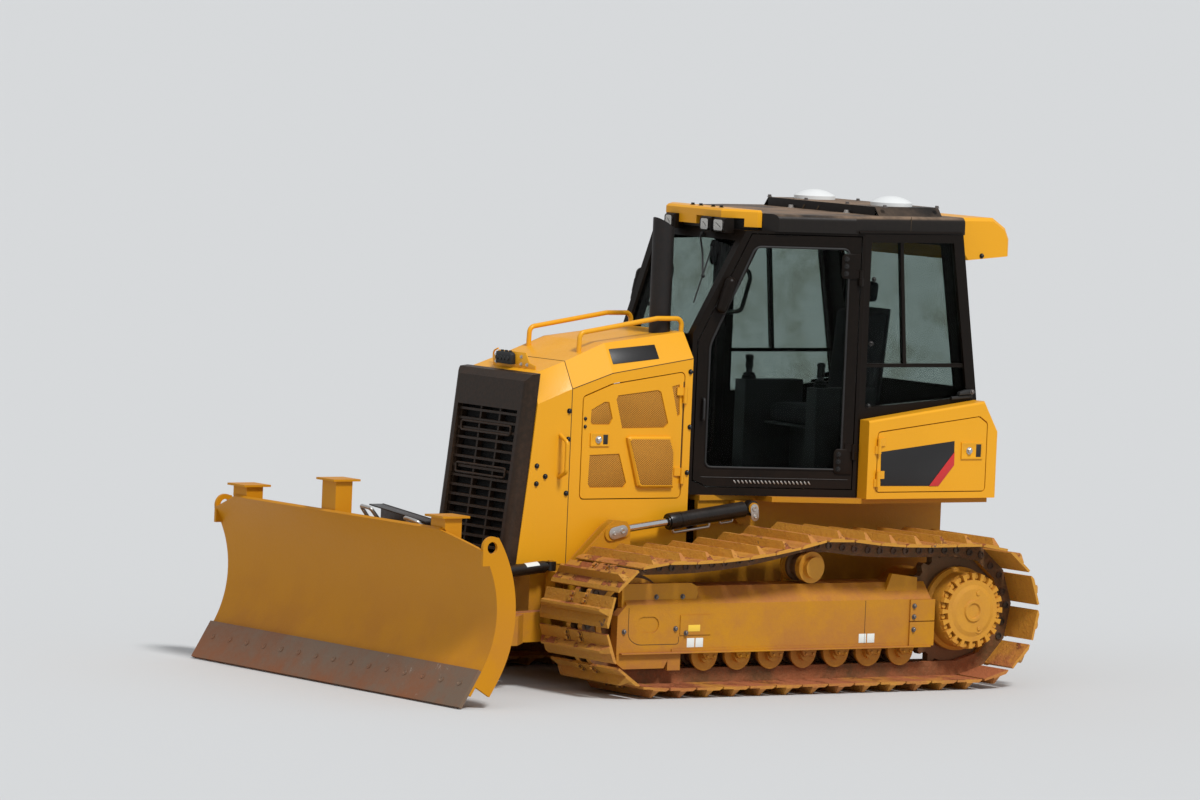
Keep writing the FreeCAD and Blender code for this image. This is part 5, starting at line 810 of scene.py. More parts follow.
# %% Bent loops on the grille
def nose_face(z):
    """Front plane of the nose at a height, in this scene's metres."""
    if z > 1.237:
        return 1.161 - 0.053 * (z - 1.237) / 0.483
    return 1.161 + 0.067 * (1.237 - z) / 0.577


loops = []
for low, high in ((1.405, 1.457), (1.166, 1.218)):
    corners = [(nose_face(z) - 0.011, y, z) for y, z in ((-0.250, low), (0.240, low), (0.240, high), (-0.250, high))]
    loops.append(tube(bent(corners, 0.014, 4, closed=True), 0.0065, 2, closed=True))
finish_piece(join_pieces(loops), "grille_loops", "chassis", nose_brown)

# %% Dust screen behind the slats
screen = outline_plate([(nose_face(z) - 0.068, y, z) for y, z in ((-0.290, 0.748), (0.290, 0.748), (0.290, 1.237),
                                                                  (-0.290, 1.237))], 0.003, (-1, 0, 0), 0)
upper = outline_plate([(nose_face(z) - 0.068, y, z) for y, z in ((-0.290, 1.237), (0.290, 1.237), (0.290, 1.548),
                                                                 (-0.290, 1.548))], 0.003, (-1, 0, 0), 0)
screen = join_pieces([screen, upper])
choose(screen)
bpy.ops.object.mode_set(mode="EDIT")
bpy.ops.mesh.select_all(action="SELECT")
bpy.ops.mesh.subdivide(number_cuts=3)
leave_edit()
finish_piece(screen, "dust_screen", "chassis", screen_mesh)

# %% Bracket and coupling on top of the cowl
bracket = outline_plate([at(1398, y, z) for y, z in ((-172, 1763), (250, 1763), (250, 1800), (190, 1812),
                                                     (150, 1868), (-120, 1868), (-172, 1830))],
                        0.006, (1, 0, 0), 0.0015)
foot = outline_plate([at(x, y, 1764) for x, y in ((1340, -172), (1404, -172), (1404, 250), (1340, 250))],
                     0.010, (0, 0, 1), 0.002)
finish_piece(join_pieces([bracket, foot]), "cowl_bracket", "chassis", machine_yellow)
block = outline_plate([at(1404, y, z) for y, z in ((-98, 1795), (52, 1795), (52, 1850), (36, 1862), (-98, 1862))],
                      0.034, (1, 0, 0), 0.004)
select_faces(block, lambda face: face.normal.x > 0.99 and face.calc_area() > 0.004)
bpy.ops.mesh.inset(thickness=0.007, depth=0.004)
leave_edit()
plugs = [tube([at(1436, y, 1828), at(1450, y, 1828)], 0.013, 3) for y in (-74, -40, -6, 28)]
plugs += [tube([at(1420, y, 1850), at(1420, y, 1872)], 0.009, 3) for y in (-60, -20, 20)]
finish_piece(join_pieces([block] + plugs), "cable_coupling", "chassis", rubber_black)
spots = [(at(1404, y, z), Vector((1, 0, 0))) for y, z in ((112, 1842), (112, 1800), (170, 1800), (-140, 1800),
                                                          (-140, 1838))]
scatter(small_bolt, spots, "cowl_bracket_bolts", "chassis", bright_steel)
loop = tube(bent([at(1380, -150, 1772), at(1380, -205, 1800), at(1380, -205, 1856), at(1380, -160, 1872)], 0.02), 0.005)
finish_piece(loop, "cowl_bracket_loop", "chassis", machine_yellow)

# %% [markdown]
# ## Tracks
# Each shoe is held to its chain by four bolts. The shoes lie round a long loop, so the bolts'
# places are read from the finished track: the large flat face of every shoe gives the middle,
# the outward direction and the direction along the chain.

# %% Find the flat faces of the shoes
def shoe_flats(track):
    """Middle, outward way and way along the chain of each shoe's larger outer face."""
    shape = bmesh.new()
    shape.from_mesh(track.data)
    bmesh.ops.remove_doubles(shape, verts=shape.verts, dist=0.0001)
    low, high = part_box(track.name)
    middle = Vector(((low[0] + high[0]) / 2, 0, (low[2] + high[2]) / 2))
    left, found = set(shape.faces), []
    while left:
        face = left.pop()
        if abs(face.normal.y) > 0.02:
            continue
        patch, edge_of_patch = [face], [face]
        while edge_of_patch:
            current = edge_of_patch.pop()
            for edge in current.edges:
                for other in edge.link_faces:
                    if other in left and other.normal.dot(face.normal) > 0.99995:
                        left.discard(other)
                        patch.append(other)
                        edge_of_patch.append(other)
        corners = {corner for part in patch for corner in part.verts}
        ys = [corner.co.y for corner in corners]
        area = sum(part.calc_area() for part in patch)
        if max(ys) - min(ys) < 0.6 or not 0.022 < area < 0.060:
            continue
        spot = sum((corner.co for corner in corners), Vector()) / len(corners)
        spot.y = (max(ys) + min(ys)) / 2
        way = face.normal.copy()
        if way.dot(spot - middle) > 0:
            found.append((spot, way, Vector((-way.z, 0, way.x)), area))
    shape.free()
    return found


# Depth of the links' middle under the shoes, and how far out their side faces lie
LINK_DEPTH = 0.056
LINK_FACE_Y = 0.9502
clear_selection()
bpy.ops.mesh.primitive_cylinder_add(vertices=14, radius=0.021, depth=0.008, location=(0, 0, 0.003))
link_eye = bpy.context.object
select_faces(link_eye, lambda face: face.normal.z > 0.9)
bpy.ops.mesh.inset(thickness=0.006, depth=0.0)
bpy.ops.mesh.inset(thickness=0.001, depth=-0.006)
leave_edit()
choose(link_eye)
bpy.ops.object.transform_apply(location=True, rotation=True, scale=True)

for name in ("left", "right"):
    flats = shoe_flats(nodes["track_" + name])
    wide = [flat for flat in flats if flat[3] > 0.033]
    narrow = [flat for flat in flats if flat[3] <= 0.033]
    print("track", name, "wide flats:", len(wide), "narrow flats:", len(narrow))
    spots = []
    for spot, way, along, _ in wide:
        for step in (-0.016, 0.016):
            for y in (-0.065, 0.065):
                spots.append((spot + along * step + Vector((0, y, 0)), way))
    scatter(large_bolt, spots, "shoe_bolts_" + name, "chassis", track_mustard)
    side = 1 if name == "left" else -1
    spots = []
    for spot, way, along, _ in wide:
        if way.z < -0.6:
            continue
        for step in (-0.043, 0.043):
            eye = spot - way * LINK_DEPTH + along * step
            eye.y = side * LINK_FACE_Y
            spots.append((eye, Vector((0, side, 0))))
    scatter(link_eye, spots, "link_eyes_" + name, "chassis", hitch_steel)

# %% [markdown]
# The final drive's cover is held by a ring of twenty bolts, each in a pocket between two ribs,
# and it has two oil plugs. A plug is a short hexagon in a round boss.

# %% Bolts and plugs of the final drives
HUB = at(-1155, 0, 443)
spots = []
for i in range(20):
    angle = 2 * math.pi * (i + 0.5) / 20
    spots.append((Vector((HUB.x + 0.200 * math.cos(angle), 1.0495, HUB.z + 0.200 * math.sin(angle))), Vector((0, 1, 0))))
scatter(large_bolt, both(spots), "hub_bolts", "chassis", wheel_mustard)
clear_selection()
bpy.ops.mesh.primitive_cylinder_add(vertices=28, radius=0.030, depth=0.016, location=(0, 0, 0.004))
boss = bpy.context.object
select_faces(boss, lambda face: face.normal.z > 0.9)
bpy.ops.mesh.inset(thickness=0.006, depth=0.0)
bpy.ops.mesh.inset(thickness=0.004, depth=-0.006)
leave_edit()
soften(boss, 0.0015)
plug = bolt_head(0.014, 0.014, 1.2)
boss = join_pieces([boss, plug])
spots = [(Vector((HUB.x + dx, 1.0815, HUB.z + dz)), Vector((0, 1, 0))) for dx, dz in ((-0.030, 0.102), (-0.045, -0.100))]
scatter(boss, both(spots), "hub_plugs", "chassis", wheel_mustard)

# %% [markdown]
# The rollers' shafts hang from the beam in cast caps with a wavy lower edge, each held by two
# bolts. One cap is a plate with that outline. It is copied to the seven rollers of each side.

# %% Roller caps
ROLLER_X = (660, 428, 196, -36, -268, -500, -732)
CAP = ((-50, 240), (-50, 226), (-38, 204), (-24, 196), (-10, 204), (10, 204), (24, 196), (38, 204), (50, 226),
       (50, 240))
caps, spots = [], []
for x in ROLLER_X:
    caps.append(side_plate([(at(x + dx, 0, z).x, z / 1000) for dx, z in CAP], 1.006, 0.022, 0.003))
    spots += [(at(x + dx, 1028, 216), Vector((0, 1, 0))) for dx in (-24, 24)]
left_caps = join_pieces(caps)
right_caps = left_caps.copy()
right_caps.data = left_caps.data.copy()
scene.collection.objects.link(right_caps)
choose(right_caps)
right_caps.scale = (1, -1, 1)
bpy.ops.object.transform_apply(location=False, rotation=False, scale=True)
bpy.ops.object.mode_set(mode="EDIT")
bpy.ops.mesh.select_all(action="SELECT")
bpy.ops.mesh.normals_make_consistent(inside=False)
leave_edit()
finish_piece(join_pieces([left_caps, right_caps]), "roller_caps", "chassis", frame_yellow)
scatter(small_bolt, both(spots), "roller_cap_bolts", "chassis", frame_yellow)

# %% Bolts, seams and blank stickers of the track frames
# Columns: x, y, z of bolt heads on the outer face
BEAM_BOLTS = ((915, 1030, 377), (846, 1036, 352), (1270, 1030, 366), (-762, 1042, 476), (-762, 1042, 414),
              (1040, 1007, 556), (858, 1007, 556), (-762, 1042, 340))
spots = [(at(*spot), Vector((0, 1, 0))) for spot in BEAM_BOLTS]
scatter(panel_bolt, both(spots), "track_frame_bolts", "chassis", bolt_steel)
lines = []
for side in (1, -1):
    lines.append([at(-420, side * 1030, 264), at(-420, side * 1030, 512)])
    corners = [at(1240, side * 1030, 500), at(1240, side * 1030, 330), at(1180, side * 1030, 290),
               at(890, side * 1030, 290), at(890, side * 1030, 332)]
    lines.append(bent(corners, 0.045))
seam("track_frame_seams", lines, radius=0.0018)
lips = []
for side in (1, -1):
    corners = [at(x, side * 1030, z) for x, z in ((1296, 238), (1296, 247), (-884, 247), (-884, 238))]
    lips.append(outline_plate(corners, 0.026, (0, side, 0), 0.002))
finish_piece(join_pieces(lips), "track_frame_lips", "chassis", frame_yellow)
white, amber = [], []
for side in (1, -1):
    for x in (806, 746, -406, -466):
        corners = [(at(x - 26, 0, 0).x, 0.270), (at(x + 26, 0, 0).x, 0.270), (at(x + 26, 0, 0).x, 0.322),
                   (at(x - 26, 0, 0).x, 0.322)]
        white.append(side_plate(corners, side * 1.030, 0.0012, 0.0004))
    corners = [(at(x, 0, 0).x, z) for x, z in ((748, 0.360), (830, 0.360), (830, 0.397), (748, 0.397))]
    amber.append(side_plate(corners, side * 1.036, 0.0012, 0.0004))
finish_piece(join_pieces(white), "blank_stickers_white", "chassis", sticker_white)
finish_piece(join_pieces(amber), "blank_stickers_amber", "chassis", sticker_amber)

# %% [markdown]
# ## Lift and angle cylinders
# A hydraulic barrel ends in a bolted gland through which the chromed rod slides. The gland is a
# spun ring: a profile turned about the cylinder's axis. Silver keeper plates lock the pins.

# %% Helpers for round pieces
def spun_ring(profile, start, end):
    """Ring whose profile (distance along, radius) is turned about the line from start to end."""
    clear_selection()
    bpy.ops.mesh.primitive_circle_add(vertices=len(profile), radius=1, fill_type="NOTHING")
    ring = bpy.context.object
    for vertex, (along, radius) in zip(ring.data.vertices, profile):
        vertex.co = (radius, 0, along)
    bpy.ops.object.mode_set(mode="EDIT")
    bpy.ops.mesh.select_all(action="SELECT")
    bpy.ops.mesh.spin(steps=32, angle=2 * math.pi, center=(0, 0, 0), axis=(0, 0, 1))
    bpy.ops.mesh.select_all(action="SELECT")
    bpy.ops.mesh.remove_doubles(threshold=0.0001)
    bpy.ops.mesh.normals_make_consistent(inside=False)
    leave_edit()
    ring.matrix_world = Matrix.Translation(start) @ (end - start).to_track_quat("Z", "Y").to_matrix().to_4x4()
    choose(ring)
    bpy.ops.object.transform_apply(location=True, rotation=True, scale=True)
    bpy.ops.object.shade_smooth_by_angle(angle=math.radians(35))
    return ring


def gland(pin, rod_pin, barrel_length, barrel_radius, rod_radius, rise, name, body):
    """Gland at the rod's end of a barrel, with a clamp band a little behind it."""
    way = (rod_pin - pin).normalized()
    mouth = pin + way * barrel_length
    r, hole = barrel_radius, rod_radius + 0.003
    ring = spun_ring(((-0.050, r - 0.002), (-0.050, r + rise), (-0.008, r + rise), (0.0, r), (0.0, hole + 0.010),
                      (0.006, hole + 0.008), (0.006, hole), (-0.02, hole)), mouth, mouth + way)
    band_place = mouth - way * 0.085
    band = spun_ring(((-0.010, r - 0.002), (-0.010, r + rise * 0.7), (0.010, r + rise * 0.7), (0.010, r - 0.002)),
                     band_place, band_place + way)
    finish_piece(join_pieces([ring, band]), name, body, cylinder_black)


# %% Glands of the lift and angle cylinders
for side, letter, name in ((1, "l", "left"), (-1, "r", "right")):
    gland(at(28, side * 491, 1000), at(958, side * 491, 885), 0.585, 0.046, 0.022, 0.003, "lift_gland_" + name,
          "lift_barrel_" + letter)
    gland(at(1385, side * 450, 685), at(2190, side * 500, 612), 0.505, 0.034, 0.018, 0.009, "angle_gland_" + name,
          "angle_barrel_" + letter)

# %% Blank sticker on the left angle barrel
barrel_pin, barrel_eye = at(1385, 450, 685), at(2190, 500, 612)
clear_selection()
bpy.ops.mesh.primitive_cylinder_add(vertices=48, radius=0.0343, depth=0.092, end_fill_type="NOTHING")
sticker = bpy.context.object
select_faces(sticker, lambda face: face.normal.x < 0.86)
bpy.ops.mesh.delete(type="FACE")
leave_edit()
choose(sticker)
soft_wall = sticker.modifiers.new("wall", "SOLIDIFY")
soft_wall.thickness = 0.0006
soft_wall.offset = 1.0
bpy.ops.object.modifier_apply(modifier=soft_wall.name)
along = (barrel_eye - barrel_pin).normalized()
upward = Vector((0.25, 0.55, 0.80))
upward = (upward - along * upward.dot(along)).normalized()
turned = Matrix((upward, along.cross(upward), along)).transposed().to_4x4()
sticker.matrix_world = Matrix.Translation(barrel_pin + along * 0.142) @ turned
bpy.ops.object.transform_apply(location=True, rotation=True, scale=True)
finish_piece(sticker, "barrel_sticker", "angle_barrel_l", sticker_white)

# %% Keeper plates and pins of the lift cylinders
def stadium(length, radius, count=9):
    """Outline of a plate with one round end at each side of its length."""
    points = []
    for centre, start in ((length, -90), (0, 90)):
        for i in range(count):
            angle = math.radians(start + 180 * i / (count - 1))
            points.append((centre + radius * math.cos(angle), radius * math.sin(angle)))
    return points


def keeper(x, y, z, length, radius, turn, name, body):
    """Silver locking plate over a pin, with two raised round heads."""
    turn = math.radians(turn)
    corners = []
    for a, b in stadium(length / 1000, radius / 1000):
        corners.append((x / 1000 - DRAWING_OFFSET + a * math.cos(turn) - b * math.sin(turn),
                        z / 1000 + a * math.sin(turn) + b * math.cos(turn)))
    plates, heads = [], []
    for side in (1, -1):
        plates.append(side_plate(corners, side * y / 1000, 0.005, 0.0015))
        for along, wide in ((0.0, 0.018), (length / 1000, 0.012)):
            spot = Vector((x / 1000 - DRAWING_OFFSET + along * math.cos(turn), side * (y / 1000 + 0.004),
                           z / 1000 + along * math.sin(turn)))
            heads.append(spun_ring(((0, 0.0005), (0, wide), (0.006, wide - 0.002), (0.007, 0.006), (0.004, 0.0005)),
                                   spot, spot + Vector((0, side, 0))))
    plates = join_pieces(plates + heads)
    return finish_piece(plates, name, body, bright_steel)


keeper(958, 542, 885, 62, 34, -12, "lift_rod_keepers", "lift_frame")
keeper(28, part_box("lift_brackets")[1][1] * 1000, 1000, 46, 27, -98, "lift_barrel_keepers", "chassis")

# %% [markdown]
# Over the tilt cylinder a bent black plate keeps stones off its oil pipes. It stands on the
# yoke: one upright plate with a folded top, cut and bent from sheet, and two short pipes.

# %% Guard and pipes over the tilt cylinder
upright = outline_plate([(1.698, y, z) for y, z in ((-0.190, 0.681), (-0.190, 0.980), (-0.175, 0.992), (0.385, 0.944),
                                                    (0.400, 0.930), (0.400, 0.681))], 0.008, (-1, 0, 0), 0.002)
fold = outline_plate([(1.691, -0.180, 0.990), (1.785, -0.180, 0.990), (1.785, 0.385, 0.941), (1.691, 0.385, 0.941)],
                     0.008, (0, 0, -1), 0.002)
finish_piece(join_pieces([upright, fold]), "tilt_guard", "angle_yoke", cylinder_black)
left_pipe = tube(bent([Vector(p) for p in ((1.697, 0.300, 0.850), (1.745, 0.300, 0.850), (1.745, 0.345, 0.900),
                                           (1.808, 0.345, 0.935), (1.808, 0.215, 0.948), (1.745, 0.215, 0.900),
                                           (1.697, 0.215, 0.880))], 0.020), 0.012, 3)
right_pipe = tube(bent([Vector(p) for p in ((1.697, -0.130, 0.900), (1.745, -0.130, 0.900), (1.805, -0.130, 0.968),
                                            (1.805, -0.235, 0.976), (1.745, -0.235, 0.900), (1.745, -0.160, 0.860),
                                            (1.697, -0.160, 0.860))], 0.020), 0.011, 3)
finish_piece(join_pieces([left_pipe, right_pipe]), "tilt_pipes", "angle_yoke", bright_steel)

# %% [markdown]
# ## Cab
# The doors hang on heavy strap plates with three bolts each. A rubber seal runs round every
# window, a strip of raised non-slip beads lies along the sill, a padded capsule protects the
# latch on the front rail, and inside there is a bent grab bar. Seals and bars are lines swept
# into round bars. The straps are plates in the door's own plane.

# %% Door seals, straps, sill strip and grab bars
WINDOW = ((0.095, 1.230), (0.908, 1.230), (0.908, 1.930), (0.660, 2.500), (0.095, 2.500))


def door_plate(points, depth, thickness, side, edge=0.002):
    corners = [on_door(u, z, depth, side) for u, z in points]
    return outline_plate(corners, thickness, door_way(side), edge)


clear_selection()
bpy.ops.mesh.primitive_uv_sphere_add(segments=16, ring_count=8, radius=0.006)
bead = bpy.context.object
choose(bead)
bpy.ops.transform.resize(value=(2.1, 0.75, 0.6))
bpy.ops.object.transform_apply(location=False, rotation=True, scale=True)
select_faces(bead, lambda face: face.normal.z < -0.35)
bpy.ops.mesh.delete(type="FACE")
bpy.ops.mesh.select_all(action="DESELECT")
bpy.ops.mesh.select_mode(type="EDGE")
bpy.ops.mesh.select_non_manifold()
bpy.ops.mesh.edge_face_add()
bpy.ops.mesh.select_mode(type="FACE")
leave_edit()
bpy.ops.object.shade_smooth()

for side, name in ((1, "left"), (-1, "right")):
    body = name + "_door"
    seal_line = bent([on_door(u, z, 0.001, side) for u, z in WINDOW], 0.040, 6, closed=True)
    finish_piece(tube(seal_line, 0.0065, 2, closed=True), "door_seal_" + name, body, rubber_black)
    straps, spots = [], []
    for low, high in ((2.330, 2.475), (1.205, 1.350)):
        straps.append(door_plate(((0.030, low), (0.125, low), (0.140, low + 0.02), (0.140, high - 0.02),
                                  (0.125, high), (0.030, high)), 0.0, 0.009, side, 0.003))
        for z in (low + 0.030, (low + high) / 2, high - 0.030):
            spots.append((on_door(0.112, z, 0.009, side), door_way(side)))
    finish_piece(join_pieces(straps), "door_straps_" + name, body, cab_black)
    scatter(panel_bolt, spots, "door_strap_bolts_" + name, body, bolt_black)
    spots = [(on_door(0.280 + 0.0235 * i, 1.149, 0.0005, side), door_way(side)) for i in range(20)]
    scatter(bead, spots, "sill_beads_" + name, body, bright_steel, math.radians(125 * side))
    lip = tube([on_door(0.05, 1.172, 0.0, side), on_door(0.93, 1.172, 0.0, side)], 0.003, 1)
    finish_piece(lip, "sill_lip_" + name, body, cab_black)
    grab = bent([on_door(*spot, side) for spot in ((0.775, 2.378, -0.045), (0.765, 2.375, -0.088),
                 (0.672, 2.360, -0.088), (0.656, 2.318, -0.088), (0.706, 2.122, -0.088), (0.800, 2.118, -0.088),
                 (0.822, 2.117, -0.045))], 0.030)
    finish_piece(tube(grab, 0.0125, 3), "grab_bar_" + name, body, rubber_black)
    handle = bent([on_door(u, z, depth, side) for u, z, depth in ((0.935, 1.500, -0.002), (0.935, 1.500, 0.026),
                   (0.935, 1.620, 0.026), (0.935, 1.620, -0.002))], 0.014)
    finish_piece(tube(handle, 0.008, 3), "door_handle_" + name, body, rubber_black)

# %% [markdown]
# The capsule on the front rail is a moulded housing with two round ends. One profile, spun
# about its long axis, gives all of it.

# %% Capsule housings on the doors' front rails
for side, name in ((1, "left"), (-1, "right")):
    low, high = on_door(0.862, 2.112, 0.022, side), on_door(0.797, 2.322, 0.022, side)
    way = (high - low).normalized()
    profile = [(0.0005, 0.0005)]
    for i in range(1, 8):
        angle = math.radians(90 * i / 7)
        profile.append((0.034 - 0.034 * math.cos(angle), 0.034 * math.sin(angle)))
    length = (high - low).length
    profile += [(length * 0.33, 0.034), (length * 0.33, 0.036), (length * 0.66, 0.036), (length * 0.66, 0.034)]
    for i in range(7, 0, -1):
        angle = math.radians(90 * i / 7)
        profile.append((length - 0.034 + 0.034 * math.cos(angle), 0.034 * math.sin(angle)))
    profile.append((length - 0.0005, 0.0005))
    capsule = spun_ring(profile, low, high)
    finish_piece(capsule, "rail_capsule_" + name, name + "_door", cab_black)

# %% Bolts, seams and mouldings of the cab frame and roof
spots = []
for x, z in ((-640, 2330), (-640, 1960), (-640, 1600)):
    spots.append((at(x, 683, z), Vector((0.04, 1, 0))))
scatter(panel_bolt, both(spots), "cab_post_bolts", "chassis", bolt_black)
lines = []
for side in (1, -1):
    lines.append([at(-905, side * 668, 2691), at(-905, side * 666, 2592)])
seam("roof_rail_seams", lines, radius=0.002)
moulding = []
for side in (1, -1):
    moulding.append(tube([at(-520, side * 686, 2599), at(-1280, side * 668, 2599)], 0.007, 2))
finish_piece(join_pieces(moulding), "roof_drip_rails", "chassis", cab_black)

# %% [markdown]
# The windscreen has a wiper: an arm from a motor at its top, a pivot and a blade with a rubber
# lip. It lies 12 mm in front of the glass, so that it reads as a separate thing.

# %% Wiper on the windscreen
def on_screen(y, z, lift=0.0):
    """Point in front of the leaning windscreen."""
    return at(400 - 0.4603 * (z - 1960) + lift * 0.908, y, z + lift * 0.418)


arm = tube(bent([on_screen(60, 2545, 4), on_screen(60, 2530, 16), on_screen(150, 2430, 14), on_screen(232, 2312, 12)], 0.03),
           0.006, 2)
blade_bar = tube([on_screen(205, 2480, 11), on_screen(250, 2160, 11)], 0.005, 2)
pivot = spun_ring(((0, 0.0005), (0, 0.014), (0.018, 0.012), (0.018, 0.0005)), on_screen(60, 2545, 0),
                  on_screen(60, 2545, 20))
joint = spun_ring(((0, 0.0005), (0, 0.010), (0.016, 0.009), (0.016, 0.0005)), on_screen(232, 2312, 3),
                  on_screen(232, 2312, 20))
finish_piece(join_pieces([arm, blade_bar, pivot, joint]), "screen_wiper", "chassis", rubber_black)

# %% [markdown]
# ## Lamps
# Each lamp is a black housing with a faceted reflector and a ring round it. The reflector is a
# shallow bowl pressed into the front plate: the front face is inset and pushed back twice.

# %% Reflectors and bezels
# Columns: middle y, half width, front x, all in millimetres
LAMPS = ((299, 58, 196), (170, 50, 200), (-183, 45, 200))
LAMP_MIDDLE = 2613.5
reflectors, bezels = [], []
for y, half, x in LAMPS:
    h, w = 33, half - 12
    c = 9
    corners = [(-w + c, -h), (w - c, -h), (w, -h + c), (w, h - c), (w - c, h), (-w + c, h), (-w, h - c), (-w, -h + c)]
    reflector = outline_plate([at(x + 1, y + a, LAMP_MIDDLE + b) for a, b in corners], 0.0085, (1, 0, 0), 0)
    select_faces(reflector, lambda face: face.normal.x > 0.99)
    bpy.ops.mesh.inset(thickness=0.004, depth=0.0)
    bpy.ops.mesh.inset(thickness=0.010, depth=-0.0012)
    bpy.ops.mesh.inset(thickness=0.006, depth=-0.0006)
    leave_edit()
    reflectors.append(reflector)
    frame_line = bent([at(x + 8, y + a * 1.03, LAMP_MIDDLE + b * 1.03) for a, b in corners], 0.008, 3, closed=True)
    bezels.append(tube(frame_line, 0.004, 2, closed=True))
finish_piece(join_pieces(reflectors), "lamp_reflectors", "chassis", lamp_face)
finish_piece(join_pieces(bezels), "lamp_bezels", "chassis", cab_black)

# %% Small clips and bolts on the roof, visor and tray
spots = [(at(-735, 270, 2690), Vector((0, 0, 1)))]
scatter(large_bolt, both(spots), "roof_bolts", "chassis", bright_steel)
spots = [(at(70, y, 2705), Vector((0, 0, 1))) for y in (140, 60, -60, -140)]
scatter(panel_bolt, spots, "visor_bolts", "chassis", bolt_black)
slots = []
for y in (-185, -45):
    corners = [at(-749.5, y + a, 2690 + b) for a, b in ((0, 0), (14, 0), (34, 26), (20, 26))]
    slots.append(outline_plate(corners, 0.0015, (1, 0, 0), 0.0003))
finish_piece(join_pieces(slots), "tray_slots", "chassis", seam_dark)
spots = [(at(x, y, 2739), Vector((0, 0, 1))) for x in (-790, -1170) for y in (560, 200, -200, -560)]
scatter(panel_bolt, spots, "tray_bolts", "chassis", bolt_steel)

# %% [markdown]
# ## Rear body, hitch side and blade
# The tank door carries a large blank plate with a red band across its lower rear corner, and a
# latch dish like the engine doors'. The cutting edge is bolted on with countersunk plough
# bolts, whose flat heads show as round spots.

# %% Blank plate, band and latch of the tank door
PLATE = ((-1.094, 1.342), (-1.626, 1.402), (-1.629, 1.262), (-1.521, 1.142), (-1.101, 1.146))
BAND = ((-1.629, 1.262), (-1.521, 1.142), (-1.452, 1.142), (-1.628, 1.338))
plate = side_plate(PLATE, 0.7795, 0.0025, 0.0008)
finish_piece(plate, "tank_door_plate", "tank_lid", plate_black)
band = side_plate(BAND, 0.7822, 0.0012, 0.0004)
finish_piece(band, "tank_door_band", "tank_lid", band_red)
dish = side_plate(((-1.832, 1.296), (-1.676, 1.296), (-1.676, 1.394), (-1.832, 1.394)), 0.779, 0.009, 0.002)
select_faces(dish, lambda face: face.normal.y > 0.99 and face.calc_area() > 0.006)
bpy.ops.mesh.inset(thickness=0.010, depth=-0.006)
leave_edit()
finish_piece(dish, "tank_latch_dish", "tank_lid", machine_yellow)
finger_slot = side_plate(((-1.822, 1.308), (-1.786, 1.308), (-1.786, 1.382), (-1.822, 1.382)), 0.7808, 0.0022, 0.0005)
finish_piece(finger_slot, "tank_latch_slot", "tank_lid", rubber_black)
scatter(large_bolt, [((-1.735, 0.7815, 1.345), (0, 1, 0))], "tank_latch_lock", "tank_lid", bright_steel)

# %% Latches of the cab's rear side windows
LATCH_Y = 668
for side, name in ((1, "left"), (-1, "right")):
    low_bar = outline_plate([at(x, side * LATCH_Y, z) for x, z in ((-1395, 1645), (-1245, 1634), (-1245, 1652), (-1395, 1663))],
                            0.020, (0, side, 0), 0.003)
    cap_bar = outline_plate([at(x, side * LATCH_Y, z) for x, z in ((-1400, 1668), (-1290, 1660), (-1295, 1680), (-1340, 1692),
                                                                   (-1400, 1694))], 0.030, (0, side, 0), 0.005)
    finish_piece(join_pieces([low_bar, cap_bar]), "window_latch_" + name, "chassis", rubber_black)
spots = [(at(-1380, LATCH_Y + 30, 1680), Vector((0, 1, 0)))]
scatter(panel_bolt, both(spots), "window_latch_bolts", "chassis", bolt_steel)

# %% Bolts and seams of the rear body
spots = [(at(-1525, y, z), Vector((-1, 0, 0))) for y in (700, 460) for z in (1130, 1400)]
scatter(panel_bolt, both(spots), "rear_body_bolts", "chassis", bolt_steel)
lines = []
for side in (1, -1):
    lines.append([at(-1525, side * 400, 1080), at(-1525, side * 400, 1450)])
lines.append([at(-1525, -400, 1450), at(-1525, 400, 1450)])
lines.append([at(-620, -780, 1100), at(-1500, -780, 1100)])
seam("rear_body_seams", lines)
spots = [(at(-1545, 520, 2462), Vector((0, 1, 0)))]
scatter(panel_bolt, both(spots), "rear_cover_bolts", "chassis", bolt_black)

# %% Plough bolts of the cutting edge
low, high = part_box("cutting_edge")
print("cutting edge from", [round(v, 3) for v in low], "to", [round(v, 3) for v in high])
clear_selection()
bpy.ops.mesh.primitive_cylinder_add(vertices=18, radius=0.017, depth=0.004, location=(0, 0, 0.001))
plough_bolt = bpy.context.object
select_faces(plough_bolt, lambda face: face.normal.z > 0.9)
bpy.ops.mesh.inset(thickness=0.006, depth=0.0)
bpy.ops.mesh.inset(thickness=0.001, depth=-0.0015)
leave_edit()
choose(plough_bolt)
bpy.ops.object.transform_apply(location=True, rotation=True, scale=True)


def front_hits(item, ys, z):
    """Points and outward ways where level lines from the front meet a piece."""
    hits = []
    for y in ys:
        hit, spot, way, _ = item.ray_cast(Vector((5.0, y, z)), Vector((-1, 0, 0)))
        if hit:
            hits.append((spot, way))
    return hits


edge_z = low[2] + 0.62 * (high[2] - low[2])
ys = [(-1.26 + 0.18 * i) for i in range(15)]
spots = front_hits(nodes["cutting_edge"], ys, edge_z)
scatter(plough_bolt, spots, "plough_bolts", "blade", edge_steel)
print("plough bolts:", len(spots))

# %% [markdown]
# ## Pipes
# Rigid oil pipes run under the lift barrels. A pipe is a line with smooth bends, swept round.

